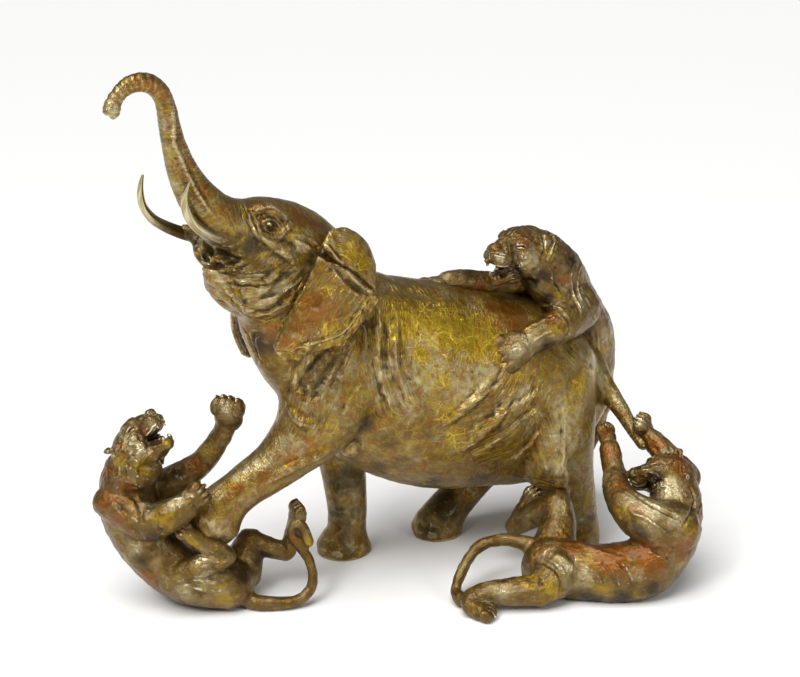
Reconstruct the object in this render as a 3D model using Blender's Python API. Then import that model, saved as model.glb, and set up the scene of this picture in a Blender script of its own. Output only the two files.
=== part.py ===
"""Bronze group: a charging elephant with a raised trunk, set upon by three lionesses.

Metres, +Z up, the elephant's head towards -X and the side it shows towards -Y. The origin is on
the ground, in the middle of the group's box. Stations and joints are written in millimetres.
"""

import math

import bmesh
import bpy
from mathutils import Matrix, Vector
from mathutils.bvhtree import BVHTree

MM = 0.001
CAST_GAP = 0.3 * MM
FIGURE_SIDES = 20
STEPS_PER_STATION = 4

MASS_VOXEL = 3.0 * MM
HIDE_VOXEL = 2.4 * MM
LIONESS_VOXEL = 1.6 * MM
MASS_PASSES = 14
HIDE_PASSES = 3
LIONESS_PASSES = 4
TUSK_SIDES = 8
FOLD_THICKNESS = 7.5
FOLD_SUNK = 3.0

ELEPHANT_TRIANGLES = 4100
LIONESS_TRIANGLES = 1400
TUSK_TRIANGLES = 1000

# Stations are measured from a point under the elephant's belly, which is off the box's middle.
GROUP_SHIFT = (-4.0 * MM, 21.5 * MM, 0)

# The folds of the hide are drawn from here, in front of the group and looking 20 degrees down.
DRAWING_POINT = (0, -1691, 860)
DRAWING_MIDDLE = (0, 0, 244)


def clear_scene():
    for thing in list(bpy.data.objects):
        bpy.data.objects.remove(thing, do_unlink=True)


def bronze(name, colour, roughness):
    metal = bpy.data.materials.new(name)
    metal.use_nodes = True
    shader = metal.node_tree.nodes["Principled BSDF"]
    shader.inputs["Base Color"].default_value = (*colour, 1.0)
    shader.inputs["Metallic"].default_value = 0.75
    shader.inputs["Roughness"].default_value = roughness
    return metal


# Clay: limbs are swept through rings, lumps are balls, and a voxel remesh makes one skin of them.
def smooth_line(stations, steps):
    """Catmull-Rom through the stations, with every number of a station carried along."""
    rows = [list(row) for row in stations]
    ends = [rows[0], *rows, rows[-1]]
    line = []
    for i in range(1, len(ends) - 2):
        before, here, there, after = ends[i - 1 : i + 3]
        for step in range(steps):
            t = step / steps
            line.append(
                [
                    0.5
                    * (
                        2 * b
                        + (c - a) * t
                        + (2 * a - 5 * b + 4 * c - d) * t * t
                        + (3 * b - a - 3 * c + d) * t**3
                    )
                    for a, b, c, d in zip(before, here, there, after)
                ]
            )
    line.append(rows[-1])
    return line


def ring_frame(point, along, side, half_width, half_height):
    along = along.normalized()
    across = (side - along * side.dot(along)).normalized()
    up = along.cross(across)
    turn = Matrix((across, up, along)).transposed().to_4x4()
    return Matrix.Translation(point) @ turn @ Matrix.Diagonal((half_width, half_height, half_width, 1))


def limb(clay, stations, side=(0, 1, 0), steps=STEPS_PER_STATION, sides=FIGURE_SIDES):
    """A round-ended limb through stations (x, y, z, half width along side, half height)."""
    rows = smooth_line([(*s, s[3]) if len(s) == 4 else s for s in stations], steps)
    points = [Vector(row[:3]) * MM for row in rows]
    side = Vector(side)
    rings = []
    for i, row in enumerate(rows):
        along = points[min(i + 1, len(points) - 1)] - points[max(i - 1, 0)]
        rings.append((points[i], along, row[3] * MM, row[4] * MM))
    caps = [math.radians(angle) for angle in (80, 60, 35)]
    first, last = rings[0], rings[-1]

    def cap(ring, way):
        point, along, width, height = ring
        out = along.normalized() * way
        radius = min(width, height)
        return [
            (point + out * radius * math.sin(a), along, width * math.cos(a), height * math.cos(a))
            for a in caps
        ]

    rings = cap(first, -1) + rings + cap(last, 1)[::-1]
    frames = [ring_frame(p, a, side, max(w, 1e-5), max(h, 1e-5)) for p, a, w, h in rings]
    disc = bmesh.ops.create_circle(clay, cap_ends=True, radius=1, segments=sides, matrix=frames[0])
    face = disc["verts"][0].link_faces[0]
    for before, after in zip(frames, frames[1:]):
        pushed = bmesh.ops.extrude_face_region(clay, geom=[face])["geom"]
        if before is not frames[0]:
            bmesh.ops.delete(clay, geom=[face], context="FACES_ONLY")
        face = next(g for g in pushed if isinstance(g, bmesh.types.BMFace))
        moved = [g for g in pushed if isinstance(g, bmesh.types.BMVert)]
        bmesh.ops.transform(clay, matrix=after @ before.inverted(), verts=moved)


def lump(clay, centre, radii, toward=(1, 0, 0), side=(0, 1, 0)):
    """A ball of clay with its first radius along toward and its second near side."""
    along = Vector(toward).normalized()
    across = (Vector(side) - along * Vector(side).dot(along)).normalized()
    turn = Matrix((along, across, along.cross(across))).transposed().to_4x4()
    size = Matrix.Diagonal((*[r * MM for r in radii], 1))
    place = Matrix.Translation(Vector(centre) * MM) @ turn @ size
    bmesh.ops.create_icosphere(clay, subdivisions=3, radius=1, matrix=place)


def sheet(clay, ribs, thickness, steps=5):
    """A thin flap, such as an ear, through ribs of points that run from one edge to the other."""
    rows = [smooth_line([[*p] for p in rib], steps) for rib in ribs]
    columns = [smooth_line([row[i] for row in rows], steps) for i in range(len(rows[0]))]
    flap = bmesh.new()
    grid = bmesh.ops.create_grid(flap, x_segments=len(columns) - 1, y_segments=len(columns[0]) - 1, size=1)
    width, length = len(columns), len(columns[0])
    for vert in grid["verts"]:
        i = round((vert.co.x + 1) / 2 * (width - 1))
        j = round((vert.co.y + 1) / 2 * (length - 1))
        vert.co = Vector(columns[i][j]) * MM
    flap.normal_update()
    bmesh.ops.solidify(flap, geom=flap.faces, thickness=thickness * MM)
    bmesh.ops.recalc_face_normals(flap, faces=flap.faces)
    mesh = bpy.data.meshes.new("flap")
    flap.to_mesh(mesh)
    flap.free()
    clay.from_mesh(mesh)
    bpy.data.meshes.remove(mesh)


def evaluated(thing):
    bpy.context.view_layer.update()
    return bpy.data.meshes.new_from_object(thing.evaluated_get(bpy.context.evaluated_depsgraph_get()))


def skin(clay, voxel, passes):
    """The one closed skin around all the clay, its seams eased by passes of smoothing."""
    lump_mesh = bpy.data.meshes.new("clay")
    clay.to_mesh(lump_mesh)
    clay.free()
    body = bpy.data.objects.new("clay", lump_mesh)
    bpy.context.scene.collection.objects.link(body)
    remesh = body.modifiers.new("Skin", "REMESH")
    remesh.mode = "VOXEL"
    remesh.voxel_size = voxel
    ease = body.modifiers.new("Ease", "SMOOTH")
    ease.factor = 0.5
    ease.iterations = passes
    mesh = evaluated(body)
    bpy.data.objects.remove(body)
    bpy.data.meshes.remove(lump_mesh)
    return mesh


# The elephant stands square to a line 23 degrees off +X, and turns its head 22 degrees further out.
BODY_SIDE = (0.39, -0.92, 0)
HEAD_SIDE = (0.707, -0.707, 0)


def elephant_mass():
    """The body, the neck, the head and the legs."""
    clay = bmesh.new()
    torso = [
        (-78, -38, 212, 44, 52),
        (-48, -20, 228, 60, 86),
        (-10, -2, 208, 72, 103),
        (41, 19, 184, 76, 107),
        (93, 38, 175, 74, 105),
        (136, 54, 164, 68, 98),
        (163, 66, 163, 56, 80),
        (180, 73, 160, 42, 58),
    ]
    limb(clay, torso, BODY_SIDE)
    neck = [
        (-104, -60, 340, 44, 46),
        (-106, -62, 305, 46, 54),
        (-88, -48, 262, 52, 60),
        (-64, -32, 232, 56, 64),
    ]
    limb(clay, neck, (0.6, -0.8, 0))
    nape = [(-82, -40, 326, 34, 30), (-52, -24, 294, 44, 36), (0, 0, 262, 50, 40)]
    limb(clay, nape, (0.6, -0.8, 0))
    head = [
        (-74, -32, 318, 44, 34),
        (-91, -47, 341, 46, 42),
        (-110, -66, 361, 43, 43),
        (-133, -89, 378, 36, 38),
        (-153, -109, 392, 27, 28),
        (-170, -126, 410, 21, 22),
        (-187, -141, 440, 16.5, 17),
        (-196, -151, 470, 13, 13),
        (-200, -159, 497, 10.5, 10.5),
        (-202, -166, 519, 9.5, 9.5),
        (-207, -174, 534, 9, 9.5),
        (-216, -183, 542, 9, 9.5),
        (-227, -190, 542, 8.5, 9),
        (-237, -197, 535, 7.5, 8),
        (-242, -201, 527, 8, 8),
        (-243, -202, 522, 10, 10),
    ]
    limb(clay, head, HEAD_SIDE)
    jaw = [
        (-112, -67, 322, 40, 40),
        (-138, -93, 328, 34, 32),
        (-158, -113, 338, 25, 21),
        (-170, -125, 350, 15, 10),
        (-175, -129, 357, 9, 5),
    ]
    limb(clay, jaw, HEAD_SIDE)
    near_foreleg = [
        (-62, -52, 240, 34, 66),
        (-72, -66, 206, 32, 50),
        (-88, -72, 176, 30, 38),
        (-108, -76, 154, 27, 29),
        (-124, -80, 140, 24, 25),
        (-142, -84, 128, 22, 23),
        (-160, -88, 115, 21, 22),
        (-174, -91, 102, 23, 25),
        (-183, -94, 88, 26, 29),
    ]
    limb(clay, near_foreleg, (0.15, -0.99, 0))
    far_foreleg = [
        (-58, 18, 190, 34, 52),
        (-62, 20, 150, 28, 34),
        (-61, 20, 110, 24, 26),
        (-57, 20, 74, 22, 23),
        (-55, 20, 42, 20.5, 21),
        (-56, 20, 26, 21, 21),
        (-58, 18, 12, 26, 28),
        (-59, 18, 4, 28, 31),
    ]
    limb(clay, far_foreleg, BODY_SIDE)
    near_hind_leg = [
        (150, 40, 206, 36, 56),
        (154, 24, 160, 36, 52),
        (160, 16, 122, 33, 44),
        (169, 18, 88, 28, 35),
        (180, 24, 58, 24, 27),
        (187, 30, 34, 22, 22),
        (187, 32, 16, 25, 26),
        (184, 31, 5, 27, 29),
    ]
    limb(clay, near_hind_leg, BODY_SIDE)
    far_hind_leg = [
        (146, 98, 190, 34, 52),
        (134, 104, 146, 32, 46),
        (112, 100, 106, 29, 36),
        (86, 88, 66, 24, 27),
        (64, 76, 38, 21, 22),
        (48, 66, 20, 23, 24),
        (40, 60, 6, 26, 30),
    ]
    limb(clay, far_hind_leg, BODY_SIDE)
    return clay


def elephant_trim(clay):
    """The lips, the cheek, the armpit, the tail, the ears and the eye."""
    near_lip = [(-122, -98, 376, 14), (-134, -108, 380, 12), (-146, -121, 385, 10), (-158, -132, 389, 8)]
    limb(clay, near_lip, (0, 0, 1))
    far_lip = [(-166, -66, 368, 13), (-182, -70, 371, 11), (-194, -75, 376, 9), (-204, -80, 379, 7)]
    limb(clay, far_lip, (0, 0, 1))
    far_cheek = [(-176, -72, 368, 11), (-186, -86, 368, 9), (-184, -93, 361, 7.5), (-176, -98, 354, 7.5)]
    limb(clay, far_cheek, (0, 0, 1))
    lump(clay, (-177, -86, 362), (11, 9, 9))
    lump(clay, (-50, -14, 142), (26, 24, 18))
    lump(clay, (-50, -36, 143), (16, 14, 12))
    tail = [
        (172, 74, 222, 13),
        (188, 74, 206, 13),
        (202, 68, 189, 12),
        (216, 58, 168, 10.5),
        (230, 44, 149, 9),
        (242, 30, 132, 7.5),
        (251, 18, 121, 6.5),
    ]
    limb(clay, tail)
    near_ear = [
        [(-76, -112, 367), (-51, -106, 352), (-34, -98, 334), (-21, -88, 317)],
        [(-82, -112, 352), (-62, -112, 338), (-46, -104, 322), (-29, -90, 306)],
        [(-90, -112, 334), (-74, -116, 318), (-58, -108, 302), (-44, -96, 288)],
        [(-99, -112, 316), (-86, -118, 302), (-74, -112, 288), (-62, -102, 277)],
        [(-108, -112, 298), (-100, -118, 288), (-92, -114, 278), (-84, -108, 271)],
        [(-117, -112, 278), (-115, -115, 273), (-112, -115, 269), (-109, -112, 265)],
    ]
    sheet(clay, near_ear, 6)
    ear_fold = [
        [(-72, -104, 366), (-54, -100, 354), (-38, -92, 340), (-22, -84, 322)],
        [(-66, -90, 383), (-50, -84, 382), (-33, -78, 368), (-22, -76, 341)],
        [(-60, -72, 378), (-48, -66, 376), (-31, -62, 362), (-22, -64, 341)],
    ]
    sheet(clay, ear_fold, 9)
    brow = [(-138, -117, 406, 5), (-130, -111, 410, 5.5), (-118, -104, 408, 5.5), (-107, -102, 400, 4.5)]
    limb(clay, brow)
    pouch = [(-132, -125, 392, 4.5), (-122, -122, 386, 5), (-111, -115, 386, 4.5), (-104, -108, 392, 4)]
    limb(clay, pouch)
    lump(clay, (-121, -115, 397), (6, 5, 5))
    far_ear = [
        [(-128, -26, 366), (-132, -6, 352), (-128, 12, 334), (-122, 28, 317)],
        [(-136, -30, 346), (-142, -10, 332), (-136, 8, 316), (-126, 20, 300)],
        [(-148, -40, 320), (-154, -20, 306), (-148, -4, 292), (-138, 8, 280)],
        [(-160, -46, 296), (-164, -32, 284), (-158, -18, 272), (-150, -6, 262)],
        [(-164, -44, 270), (-164, -34, 262), (-158, -26, 254), (-152, -18, 248)],
        [(-156, -36, 240), (-155, -32, 237), (-153, -28, 234), (-150, -25, 232)],
    ]
    sheet(clay, far_ear, 6)


# The middle of each foot's nails, the way they face on the ground, and the foot's radius.
TOES = [
    ((-184, -94, 84), (-0.94, -0.34), 24),
    ((-58, 18, 8), (-0.92, -0.39), 29),
    ((184, 31, 9), (-0.92, -0.39), 28),
    ((40, 60, 9), (-0.92, -0.39), 27),
]


def toenails(clay, toe_middle, forward, radius):
    """Four nails round the front of a foot of this radius."""
    ahead = Vector((*forward, 0)).normalized()
    middle = Vector(toe_middle)
    for step in (-1.5, -0.5, 0.5, 1.5):
        out = Matrix.Rotation(step * 0.62, 3, "Z") @ ahead
        lump(clay, middle + out * radius, (2.6, 5.4, 6), out, out.cross(Vector((0, 0, 1))))


def drape(clay, hide, line, thickness, sunk):
    """Lays a roll of clay on the hide, along a line of (right, up) points seen from DRAWING_POINT."""
    eye = Vector(DRAWING_POINT) * MM
    middle = Vector(DRAWING_MIDDLE) * MM
    right = Vector((1, 0, 0))
    up = right.cross(middle - eye).normalized()
    roll = []
    for across, high, swell in smooth_line(line, 3):
        sight = middle + right * (across * MM) + up * (high * MM) - eye
        hit, normal = hide.ray_cast(eye, sight.normalized())[:2]
        if hit is None:
            continue
        roll.append((*((hit - normal * (sunk * MM)) / MM), thickness * swell))
    if len(roll) > 2:
        limb(clay, roll, (0.2, -0.3, 0.9), steps=1, sides=10)


# The folds of the hide, as (right, up, share of full thickness).
HIDE_FOLDS = [
    [(-20, 42, 0.3), (-22, 18, 1), (-25, -12, 1), (-16, -62, 0.3)],
    [(-2, 30, 0.3), (-7, 4, 1), (-8, -20, 1), (4, -52, 0.3)],
    [(-48, 6, 0.4), (-66, -10, 1), (-84, -34, 1), (-96, -62, 0.3)],
    [(-72, 10, 0.3), (-92, -8, 1), (-106, -24, 0.9), (-114, -44, 0.3)],
    [(-186, 50, 0.5), (-160, 44, 1), (-134, 52, 1), (-116, 76, 0.4)],
    [(-178, 38, 0.4), (-154, 32, 1), (-128, 38, 1), (-112, 56, 0.4)],
    [(-142, 104, 0.4), (-125, 92, 1), (-108, 84, 1), (-99, 68, 0.4)],
    [(-110, 104, 0.4), (-98, 92, 1), (-84, 84, 0.5)],
    [(-108, -30, 0.4), (-100, -58, 1), (-84, -66, 0.9), (-74, -52, 0.4)],
    [(-116, -60, 0.4), (-104, -80, 1), (-84, -86, 0.9), (-66, -70, 0.4)],
    [(104, -22, 0.4), (84, -50, 1), (60, -74, 1), (36, -92, 0.4)],
    [(118, -44, 0.4), (100, -76, 1), (72, -104, 0.9), (48, -118, 0.3)],
    [(164, -100, 0.4), (160, -134, 1), (166, -166, 1), (172, -188, 0.4)],
    [(-56, -104, 0.4), (-84, -118, 1), (-114, -132, 1), (-140, -148, 0.5)],
]


def tusk(clay, stations):
    limb(clay, stations, (0, 0, 1), steps=2, sides=TUSK_SIDES)


NEAR_TUSK = [
    (-136, -110, 381, 6.5),
    (-152, -127, 386, 6),
    (-164, -137, 391, 5.5),
    (-175, -146, 399, 5),
    (-184, -154, 410, 4.3),
    (-189, -160, 423, 3.6),
    (-189, -164, 437, 2.8),
    (-184, -167, 450, 1.2),
]
FAR_TUSK = [
    (-199, -76, 375.5, 5),
    (-206, -80, 379, 5.5),
    (-218, -88, 387, 5),
    (-228, -97, 397, 4.3),
    (-235, -104, 411, 3.6),
    (-236, -108, 427, 2.8),
    (-233, -110, 441, 1.2),
]


# Lionesses. A head is shaped about its skull, forward along +X, and then turned into place.
def figure_frame(forward, up):
    ahead = Vector(forward).normalized()
    left = Vector(up).cross(ahead).normalized()
    return ahead, left, ahead.cross(left)


def lioness_head(clay, skull, forward, up, size, gape):
    """A snarling head: size scales it, and gape is how far the lower jaw drops, in degrees."""
    ahead, left, above = figure_frame(forward, up)

    def place(x, y, z):
        return Vector(skull) + (ahead * x + left * y + above * z) * size

    def ball(x, y, z, radii, tip=0):
        lean = ahead * math.cos(math.radians(tip)) + above * math.sin(math.radians(tip))
        lump(clay, place(x, y, z), [r * size for r in radii], lean, left)

    ball(-1, 0, -2, (19, 16.5, 16.5))
    ball(9, 0, 4.5, (13, 11.5, 9.5), -12)
    ball(20, 0, 1, (12, 7, 8), -24)
    ball(24, 0, -4, (9.5, 8.5, 7.5))
    ball(32, 0, 0, (3.5, 4.4, 3.8))
    for hand in (-1, 1):
        ball(25.5, 4.8 * hand, -5.5, (8, 4.6, 6))
        ball(3, 11 * hand, -7, (12, 6.5, 11.5), -10)
        ball(-8, 11.5 * hand, 9, (2.8, 4.6, 5), 50)
        ball(13, 8 * hand, 6.5, (5, 3.6, 3.2), -20)
    hinge = place(3, 0, -12)
    drop = math.radians(gape)
    along = ahead * math.cos(drop) - above * math.sin(drop)
    jaw = [(0, 12, 8), (9, 9.5, 7), (17, 7, 5.5), (22, 6, 5)]
    limb(clay, [(*(hinge + along * (d * size)), w * size, h * size) for d, w, h in jaw], left)


def paw(clay, heel, forward, up, size):
    """A paw with four toes side by side, its back towards up."""
    ahead, left, above = figure_frame(forward, up)
    lump(clay, heel, [r * size for r in (8, 7, 5)], ahead, left)
    for step in (-1.5, -0.5, 0.5, 1.5):
        reach = ahead * (7 - abs(step)) + left * (step * 4.1) + above * 0.6
        tip = Vector(heel) + reach * size
        lump(clay, tip, [r * size for r in (5, 2.6, 4.4)], ahead + left * (step * 0.12), left)


def lioness_under_foot(clay):
    spine = [
        (-168, -98, 22, 27, 25),
        (-200, -99, 27, 29, 27),
        (-225, -98, 41, 30, 29),
        (-246, -96, 65, 31, 30),
        (-263, -93, 95, 31, 30),
        (-267, -91, 120, 28, 27),
        (-262, -91, 142, 25, 25),
    ]
    limb(clay, spine)
    lioness_head(clay, (-258, -92, 167), (0.47, -0.171, 0.861), (-0.738, 0.444, 0.491), 1.34, 30)
    near_arm = [
        (-282, -104, 112, 17),
        (-264, -114, 107, 19),
        (-242, -121, 99, 18),
        (-222, -124, 108, 16.5),
        (-206, -124, 117, 14),
    ]
    limb(clay, near_arm)
    paw(clay, (-199, -122, 125), (0.75, 0.3, 0.55), (0.2, -1, 0.1), 1.45)
    ruff = [(-262, -108, 140, 12), (-246, -108, 140, 15), (-236, -100, 146, 12)]
    limb(clay, ruff)
    far_arm = [
        (-236, -70, 112, 18),
        (-201, -66, 133, 13.5),
        (-185, -68, 152, 12),
        (-174, -70, 170, 11),
        (-169, -71, 182, 11),
    ]
    limb(clay, far_arm)
    paw(clay, (-167, -72, 190), (-0.05, -0.2, 1), (0.4, 1, 0.2), 1.85)
    near_thigh = [(-166, -108, 24, 20, 24), (-196, -116, 30, 17, 23), (-222, -122, 37, 13, 15)]
    limb(clay, near_thigh)
    near_shin = [(-222, -122, 39, 12), (-194, -124, 53, 11.5), (-168, -121, 62, 9.5)]
    limb(clay, near_shin)
    near_foot = [(-168, -121, 65, 9), (-188, -120, 75, 8.5), (-202, -119, 84, 8.5)]
    limb(clay, near_foot)
    paw(clay, (-205, -119, 87), (-0.8, 0, 0.6), (0.3, -0.8, 0.5), 1.0)
    far_thigh = [(-160, -82, 24, 18, 22), (-154, -72, 42, 15, 18), (-150, -69, 54, 12, 14)]
    limb(clay, far_thigh)
    far_shin = [(-150, -69, 54, 12.5), (-132, -71, 48, 10.5), (-114, -72, 43, 9.5)]
    limb(clay, far_shin)
    far_foot = [(-112, -72, 44, 9), (-107, -74, 62, 8.5), (-103, -75, 78, 9)]
    limb(clay, far_foot)
    paw(clay, (-102, -76, 84), (0.15, -0.1, 1), (-0.9, -0.35, 0.2), 1.35)
    tail = [
        (-160, -106, 13, 9),
        (-146, -110, 8, 8),
        (-126, -112, 6.5, 7.5),
        (-106, -110, 7, 6.5),
        (-92, -104, 13, 6),
        (-86, -98, 25, 5.8),
        (-89, -92, 41, 5.5),
        (-98, -86, 55, 5.2),
        (-107, -85, 69, 5),
        (-106, -86, 80, 5),
        (-97, -88, 80, 5),
        (-90, -88, 62, 6),
    ]
    limb(clay, tail)


def lioness_on_back(clay):
    spine = [
        (138, 48, 316, 27, 28),
        (155, 60, 294, 30, 32),
        (171, 78, 256, 34, 34),
        (193, 100, 214, 31, 33),
        (204, 114, 172, 28, 27),
    ]
    limb(clay, spine)
    lioness_head(clay, (125, 44, 326), (-0.68, -0.71, 0.17), (0.1, 0, 1), 1.52, 26)
    near_arm = [
        (180, 52, 260, 26),
        (170, 28, 256, 21),
        (156, 10, 252, 17),
        (136, -2, 246, 15),
        (122, -8, 240, 15),
    ]
    limb(clay, near_arm)
    paw(clay, (114, -14, 238), (-0.88, -0.08, -0.46), (0.1, -0.9, 0.42), 2.1)
    far_arm = [
        (160, 74, 280, 20),
        (126, 60, 284, 14),
        (92, 46, 287, 12),
        (68, 38, 293, 11.5),
        (48, 32, 294, 11.5),
    ]
    limb(clay, far_arm)
    paw(clay, (35, 26, 290), (-0.95, -0.3, -0.25), (-0.25, -0.1, 1), 1.7)
    throat = [(134, 42, 304, 15), (144, 40, 290, 17), (156, 44, 276, 20)]
    limb(clay, throat)
    near_thigh = [(206, 110, 168, 22), (212, 104, 140, 18), (206, 96, 116, 12)]
    limb(clay, near_thigh)
    far_thigh = [(194, 128, 168, 24), (180, 146, 142, 20), (164, 148, 120, 13)]
    limb(clay, far_thigh)
    far_shin = [(164, 148, 120, 11), (158, 142, 94, 10), (148, 136, 74, 10)]
    limb(clay, far_shin)
    tail = [
        (208, 126, 152, 9),
        (220, 142, 130, 7),
        (224, 152, 100, 6),
        (218, 158, 70, 6),
        (206, 158, 48, 7),
    ]
    limb(clay, tail)


def lioness_at_tail(clay):
    spine = [
        (148, -74, 28, 27, 30),
        (196, -84, 26, 27, 30),
        (240, -80, 29, 30, 32),
        (268, -64, 50, 32, 28),
        (276, -50, 70, 30, 28),
        (278, -38, 86, 26, 26),
        (275, -30, 100, 22, 23),
    ]
    limb(clay, spine)
    lioness_head(clay, (272, -27, 110), (-0.96, -0.16, 0.04), (0.02, -0.55, 0.83), 1.22, 16)
    near_arm = [
        (274, -74, 70, 26),
        (252, -76, 76, 25),
        (229, -64, 86, 20),
        (218, -42, 99, 14.5),
        (217, -22, 111, 11.5),
        (214, -4, 126, 10.5),
    ]
    limb(clay, near_arm)
    paw(clay, (212, 6, 135), (-0.3, 0.5, 0.8), (0.8, -0.6, 0.3), 1.3)
    far_arm = [(290, -14, 98, 17), (274, 6, 114, 13), (259, 20, 127, 11)]
    limb(clay, far_arm)
    paw(clay, (253, 26, 134), (-0.5, 0, 0.85), (0.7, -0.5, 0.5), 1.45)
    near_thigh = [(158, -88, 30, 25), (148, -100, 24, 21), (138, -106, 18, 17)]
    limb(clay, near_thigh)
    near_shin = [(138, -106, 18, 16), (98, -112, 19, 13), (76, -114, 17, 10)]
    limb(clay, near_shin)
    near_foot = [(72, -114, 15, 9.5), (67, -121, 11, 9), (74, -127, 8, 8.5)]
    limb(clay, near_foot)
    paw(clay, (79, -130, 8), (0.9, -0.3, -0.15), (0.1, -0.2, 1), 1.3)
    far_thigh = [(156, -56, 40, 23), (161, -36, 60, 18), (160, -26, 74, 15)]
    limb(clay, far_thigh)
    far_shin = [(160, -26, 74, 14), (138, -18, 58, 13), (119, -10, 40, 10)]
    limb(clay, far_shin)
    far_foot = [(118, -10, 40, 10), (127, -5, 54, 10), (133, -2, 62, 10)]
    limb(clay, far_foot)
    paw(clay, (134, -2, 64), (0.5, -0.1, 0.85), (-0.7, -0.6, 0.4), 1.45)
    tail = [
        (138, -66, 44, 9.5),
        (118, -61, 49, 7.5),
        (100, -61, 51, 6.8),
        (78, -67, 45, 6.2),
        (63, -79, 28, 5.8),
        (56, -95, 12, 5.8),
        (60, -106, 7.5, 7.5),
    ]
    limb(clay, tail)


# Casting. The figures are cut flat where they stand, and the lionesses are fitted to the elephant.
MOUTH = (-160, -117, 367), (34, 9, 22), (-0.68, -0.68, 0.15)
NOSTRILS = (-252, -208, 512), (9, 6.5, 6.5), (-0.45, -0.3, -0.84)


def hollow(name, centre, radii, toward, side=(0, 0, 1)):
    """A ball to be cut out of a figure: its centre, its radii and the way the first of them lies."""
    clay = bmesh.new()
    lump(clay, centre, radii, toward, side)
    mesh = bpy.data.meshes.new(name)
    clay.to_mesh(mesh)
    clay.free()
    return cutter(name, mesh)


def cutter(name, mesh):
    thing = bpy.data.objects.new(name, mesh)
    thing.location = GROUP_SHIFT
    thing.hide_render = True
    thing.display_type = "WIRE"
    bpy.context.scene.collection.objects.link(thing)
    return thing


def ground_block():
    block = bmesh.new()
    below = Matrix.Translation((0, 0, -0.05)) @ Matrix.Diagonal((1, 1, 0.1, 1))
    bmesh.ops.create_cube(block, size=1, matrix=below)
    mesh = bpy.data.meshes.new("ground")
    block.to_mesh(mesh)
    block.free()
    return cutter("ground", mesh)


def cast(name, mesh, material, triangles, cutters):
    figure = bpy.data.objects.new(name, mesh)
    figure.location = GROUP_SHIFT
    mesh.materials.append(material)
    mesh.shade_smooth()
    bpy.context.scene.collection.objects.link(figure)
    whole = sum(len(face.vertices) - 2 for face in mesh.polygons)
    if triangles < whole:
        thin = figure.modifiers.new("Facets", "DECIMATE")
        thin.ratio = triangles / whole
    for other in cutters:
        cut = figure.modifiers.new("Fit to " + other.name, "BOOLEAN")
        cut.operation = "DIFFERENCE"
        cut.object = other
    return figure


def swollen(figure):
    """A copy of a figure's cast shape, larger all over by the gap that its neighbours keep."""
    copy = cutter(figure.name + " and gap", evaluated(figure))
    swell = copy.modifiers.new("Gap", "DISPLACE")
    swell.strength = CAST_GAP * 1.15
    swell.mid_level = 0
    return copy


def main():
    clear_scene()
    patina = bronze("marbled green bronze", (0.30, 0.22, 0.07), 0.42)
    dark = bronze("brown bronze", (0.20, 0.13, 0.06), 0.36)
    bright = bronze("polished tusk bronze", (0.55, 0.50, 0.36), 0.28)
    ground = ground_block()

    mass = skin(elephant_mass(), MASS_VOXEL, MASS_PASSES)
    clay = bmesh.new()
    clay.from_mesh(mass)
    elephant_trim(clay)
    hide = BVHTree.FromBMesh(clay)
    for line in HIDE_FOLDS:
        drape(clay, hide, line, FOLD_THICKNESS, FOLD_SUNK)
    for toe_middle, forward, radius in TOES:
        toenails(clay, toe_middle, forward, radius)
    body = skin(clay, HIDE_VOXEL, HIDE_PASSES)
    mouth = hollow("mouth", *MOUTH)
    nostrils = hollow("nostrils", *NOSTRILS)
    elephant = cast("elephant", body, patina, ELEPHANT_TRIANGLES, [ground, mouth, nostrils])
    fitted = swollen(elephant)

    for name, stations in (("left_tusk", NEAR_TUSK), ("right_tusk", FAR_TUSK)):
        clay = bmesh.new()
        tusk(clay, stations)
        mesh = bpy.data.meshes.new(name)
        clay.to_mesh(mesh)
        clay.free()
        cast(name, mesh, bright, TUSK_TRIANGLES, [fitted])

    for shape in (lioness_under_foot, lioness_on_back, lioness_at_tail):
        clay = bmesh.new()
        shape(clay)
        mesh = skin(clay, LIONESS_VOXEL, LIONESS_PASSES)
        cast(shape.__name__, mesh, dark, LIONESS_TRIANGLES, [ground, fitted])


main()
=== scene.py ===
"""Cast bronze group: a charging elephant with a raised trunk, set upon by three lionesses."""
import math

import bmesh
import bpy
import numpy as np
from mathutils import Matrix, Vector
from mathutils.bvhtree import BVHTree


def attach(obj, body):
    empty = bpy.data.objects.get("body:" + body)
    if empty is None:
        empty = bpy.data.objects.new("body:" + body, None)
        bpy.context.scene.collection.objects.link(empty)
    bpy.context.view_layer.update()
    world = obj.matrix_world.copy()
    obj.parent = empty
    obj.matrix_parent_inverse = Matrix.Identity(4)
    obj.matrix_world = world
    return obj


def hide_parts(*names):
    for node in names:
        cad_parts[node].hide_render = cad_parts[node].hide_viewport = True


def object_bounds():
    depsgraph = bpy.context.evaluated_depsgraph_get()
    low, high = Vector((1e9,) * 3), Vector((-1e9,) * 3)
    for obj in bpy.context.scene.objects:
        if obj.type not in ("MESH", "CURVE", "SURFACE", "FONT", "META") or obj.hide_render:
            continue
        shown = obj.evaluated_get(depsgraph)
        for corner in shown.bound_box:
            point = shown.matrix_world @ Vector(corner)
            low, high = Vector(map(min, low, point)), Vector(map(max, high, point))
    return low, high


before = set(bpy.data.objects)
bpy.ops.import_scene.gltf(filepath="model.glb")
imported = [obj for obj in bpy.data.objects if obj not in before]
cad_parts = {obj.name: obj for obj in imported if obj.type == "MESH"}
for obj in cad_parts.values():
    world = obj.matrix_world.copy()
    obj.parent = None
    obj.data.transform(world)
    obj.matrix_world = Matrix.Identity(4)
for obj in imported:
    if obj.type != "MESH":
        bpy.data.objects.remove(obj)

solid_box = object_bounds()

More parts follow.
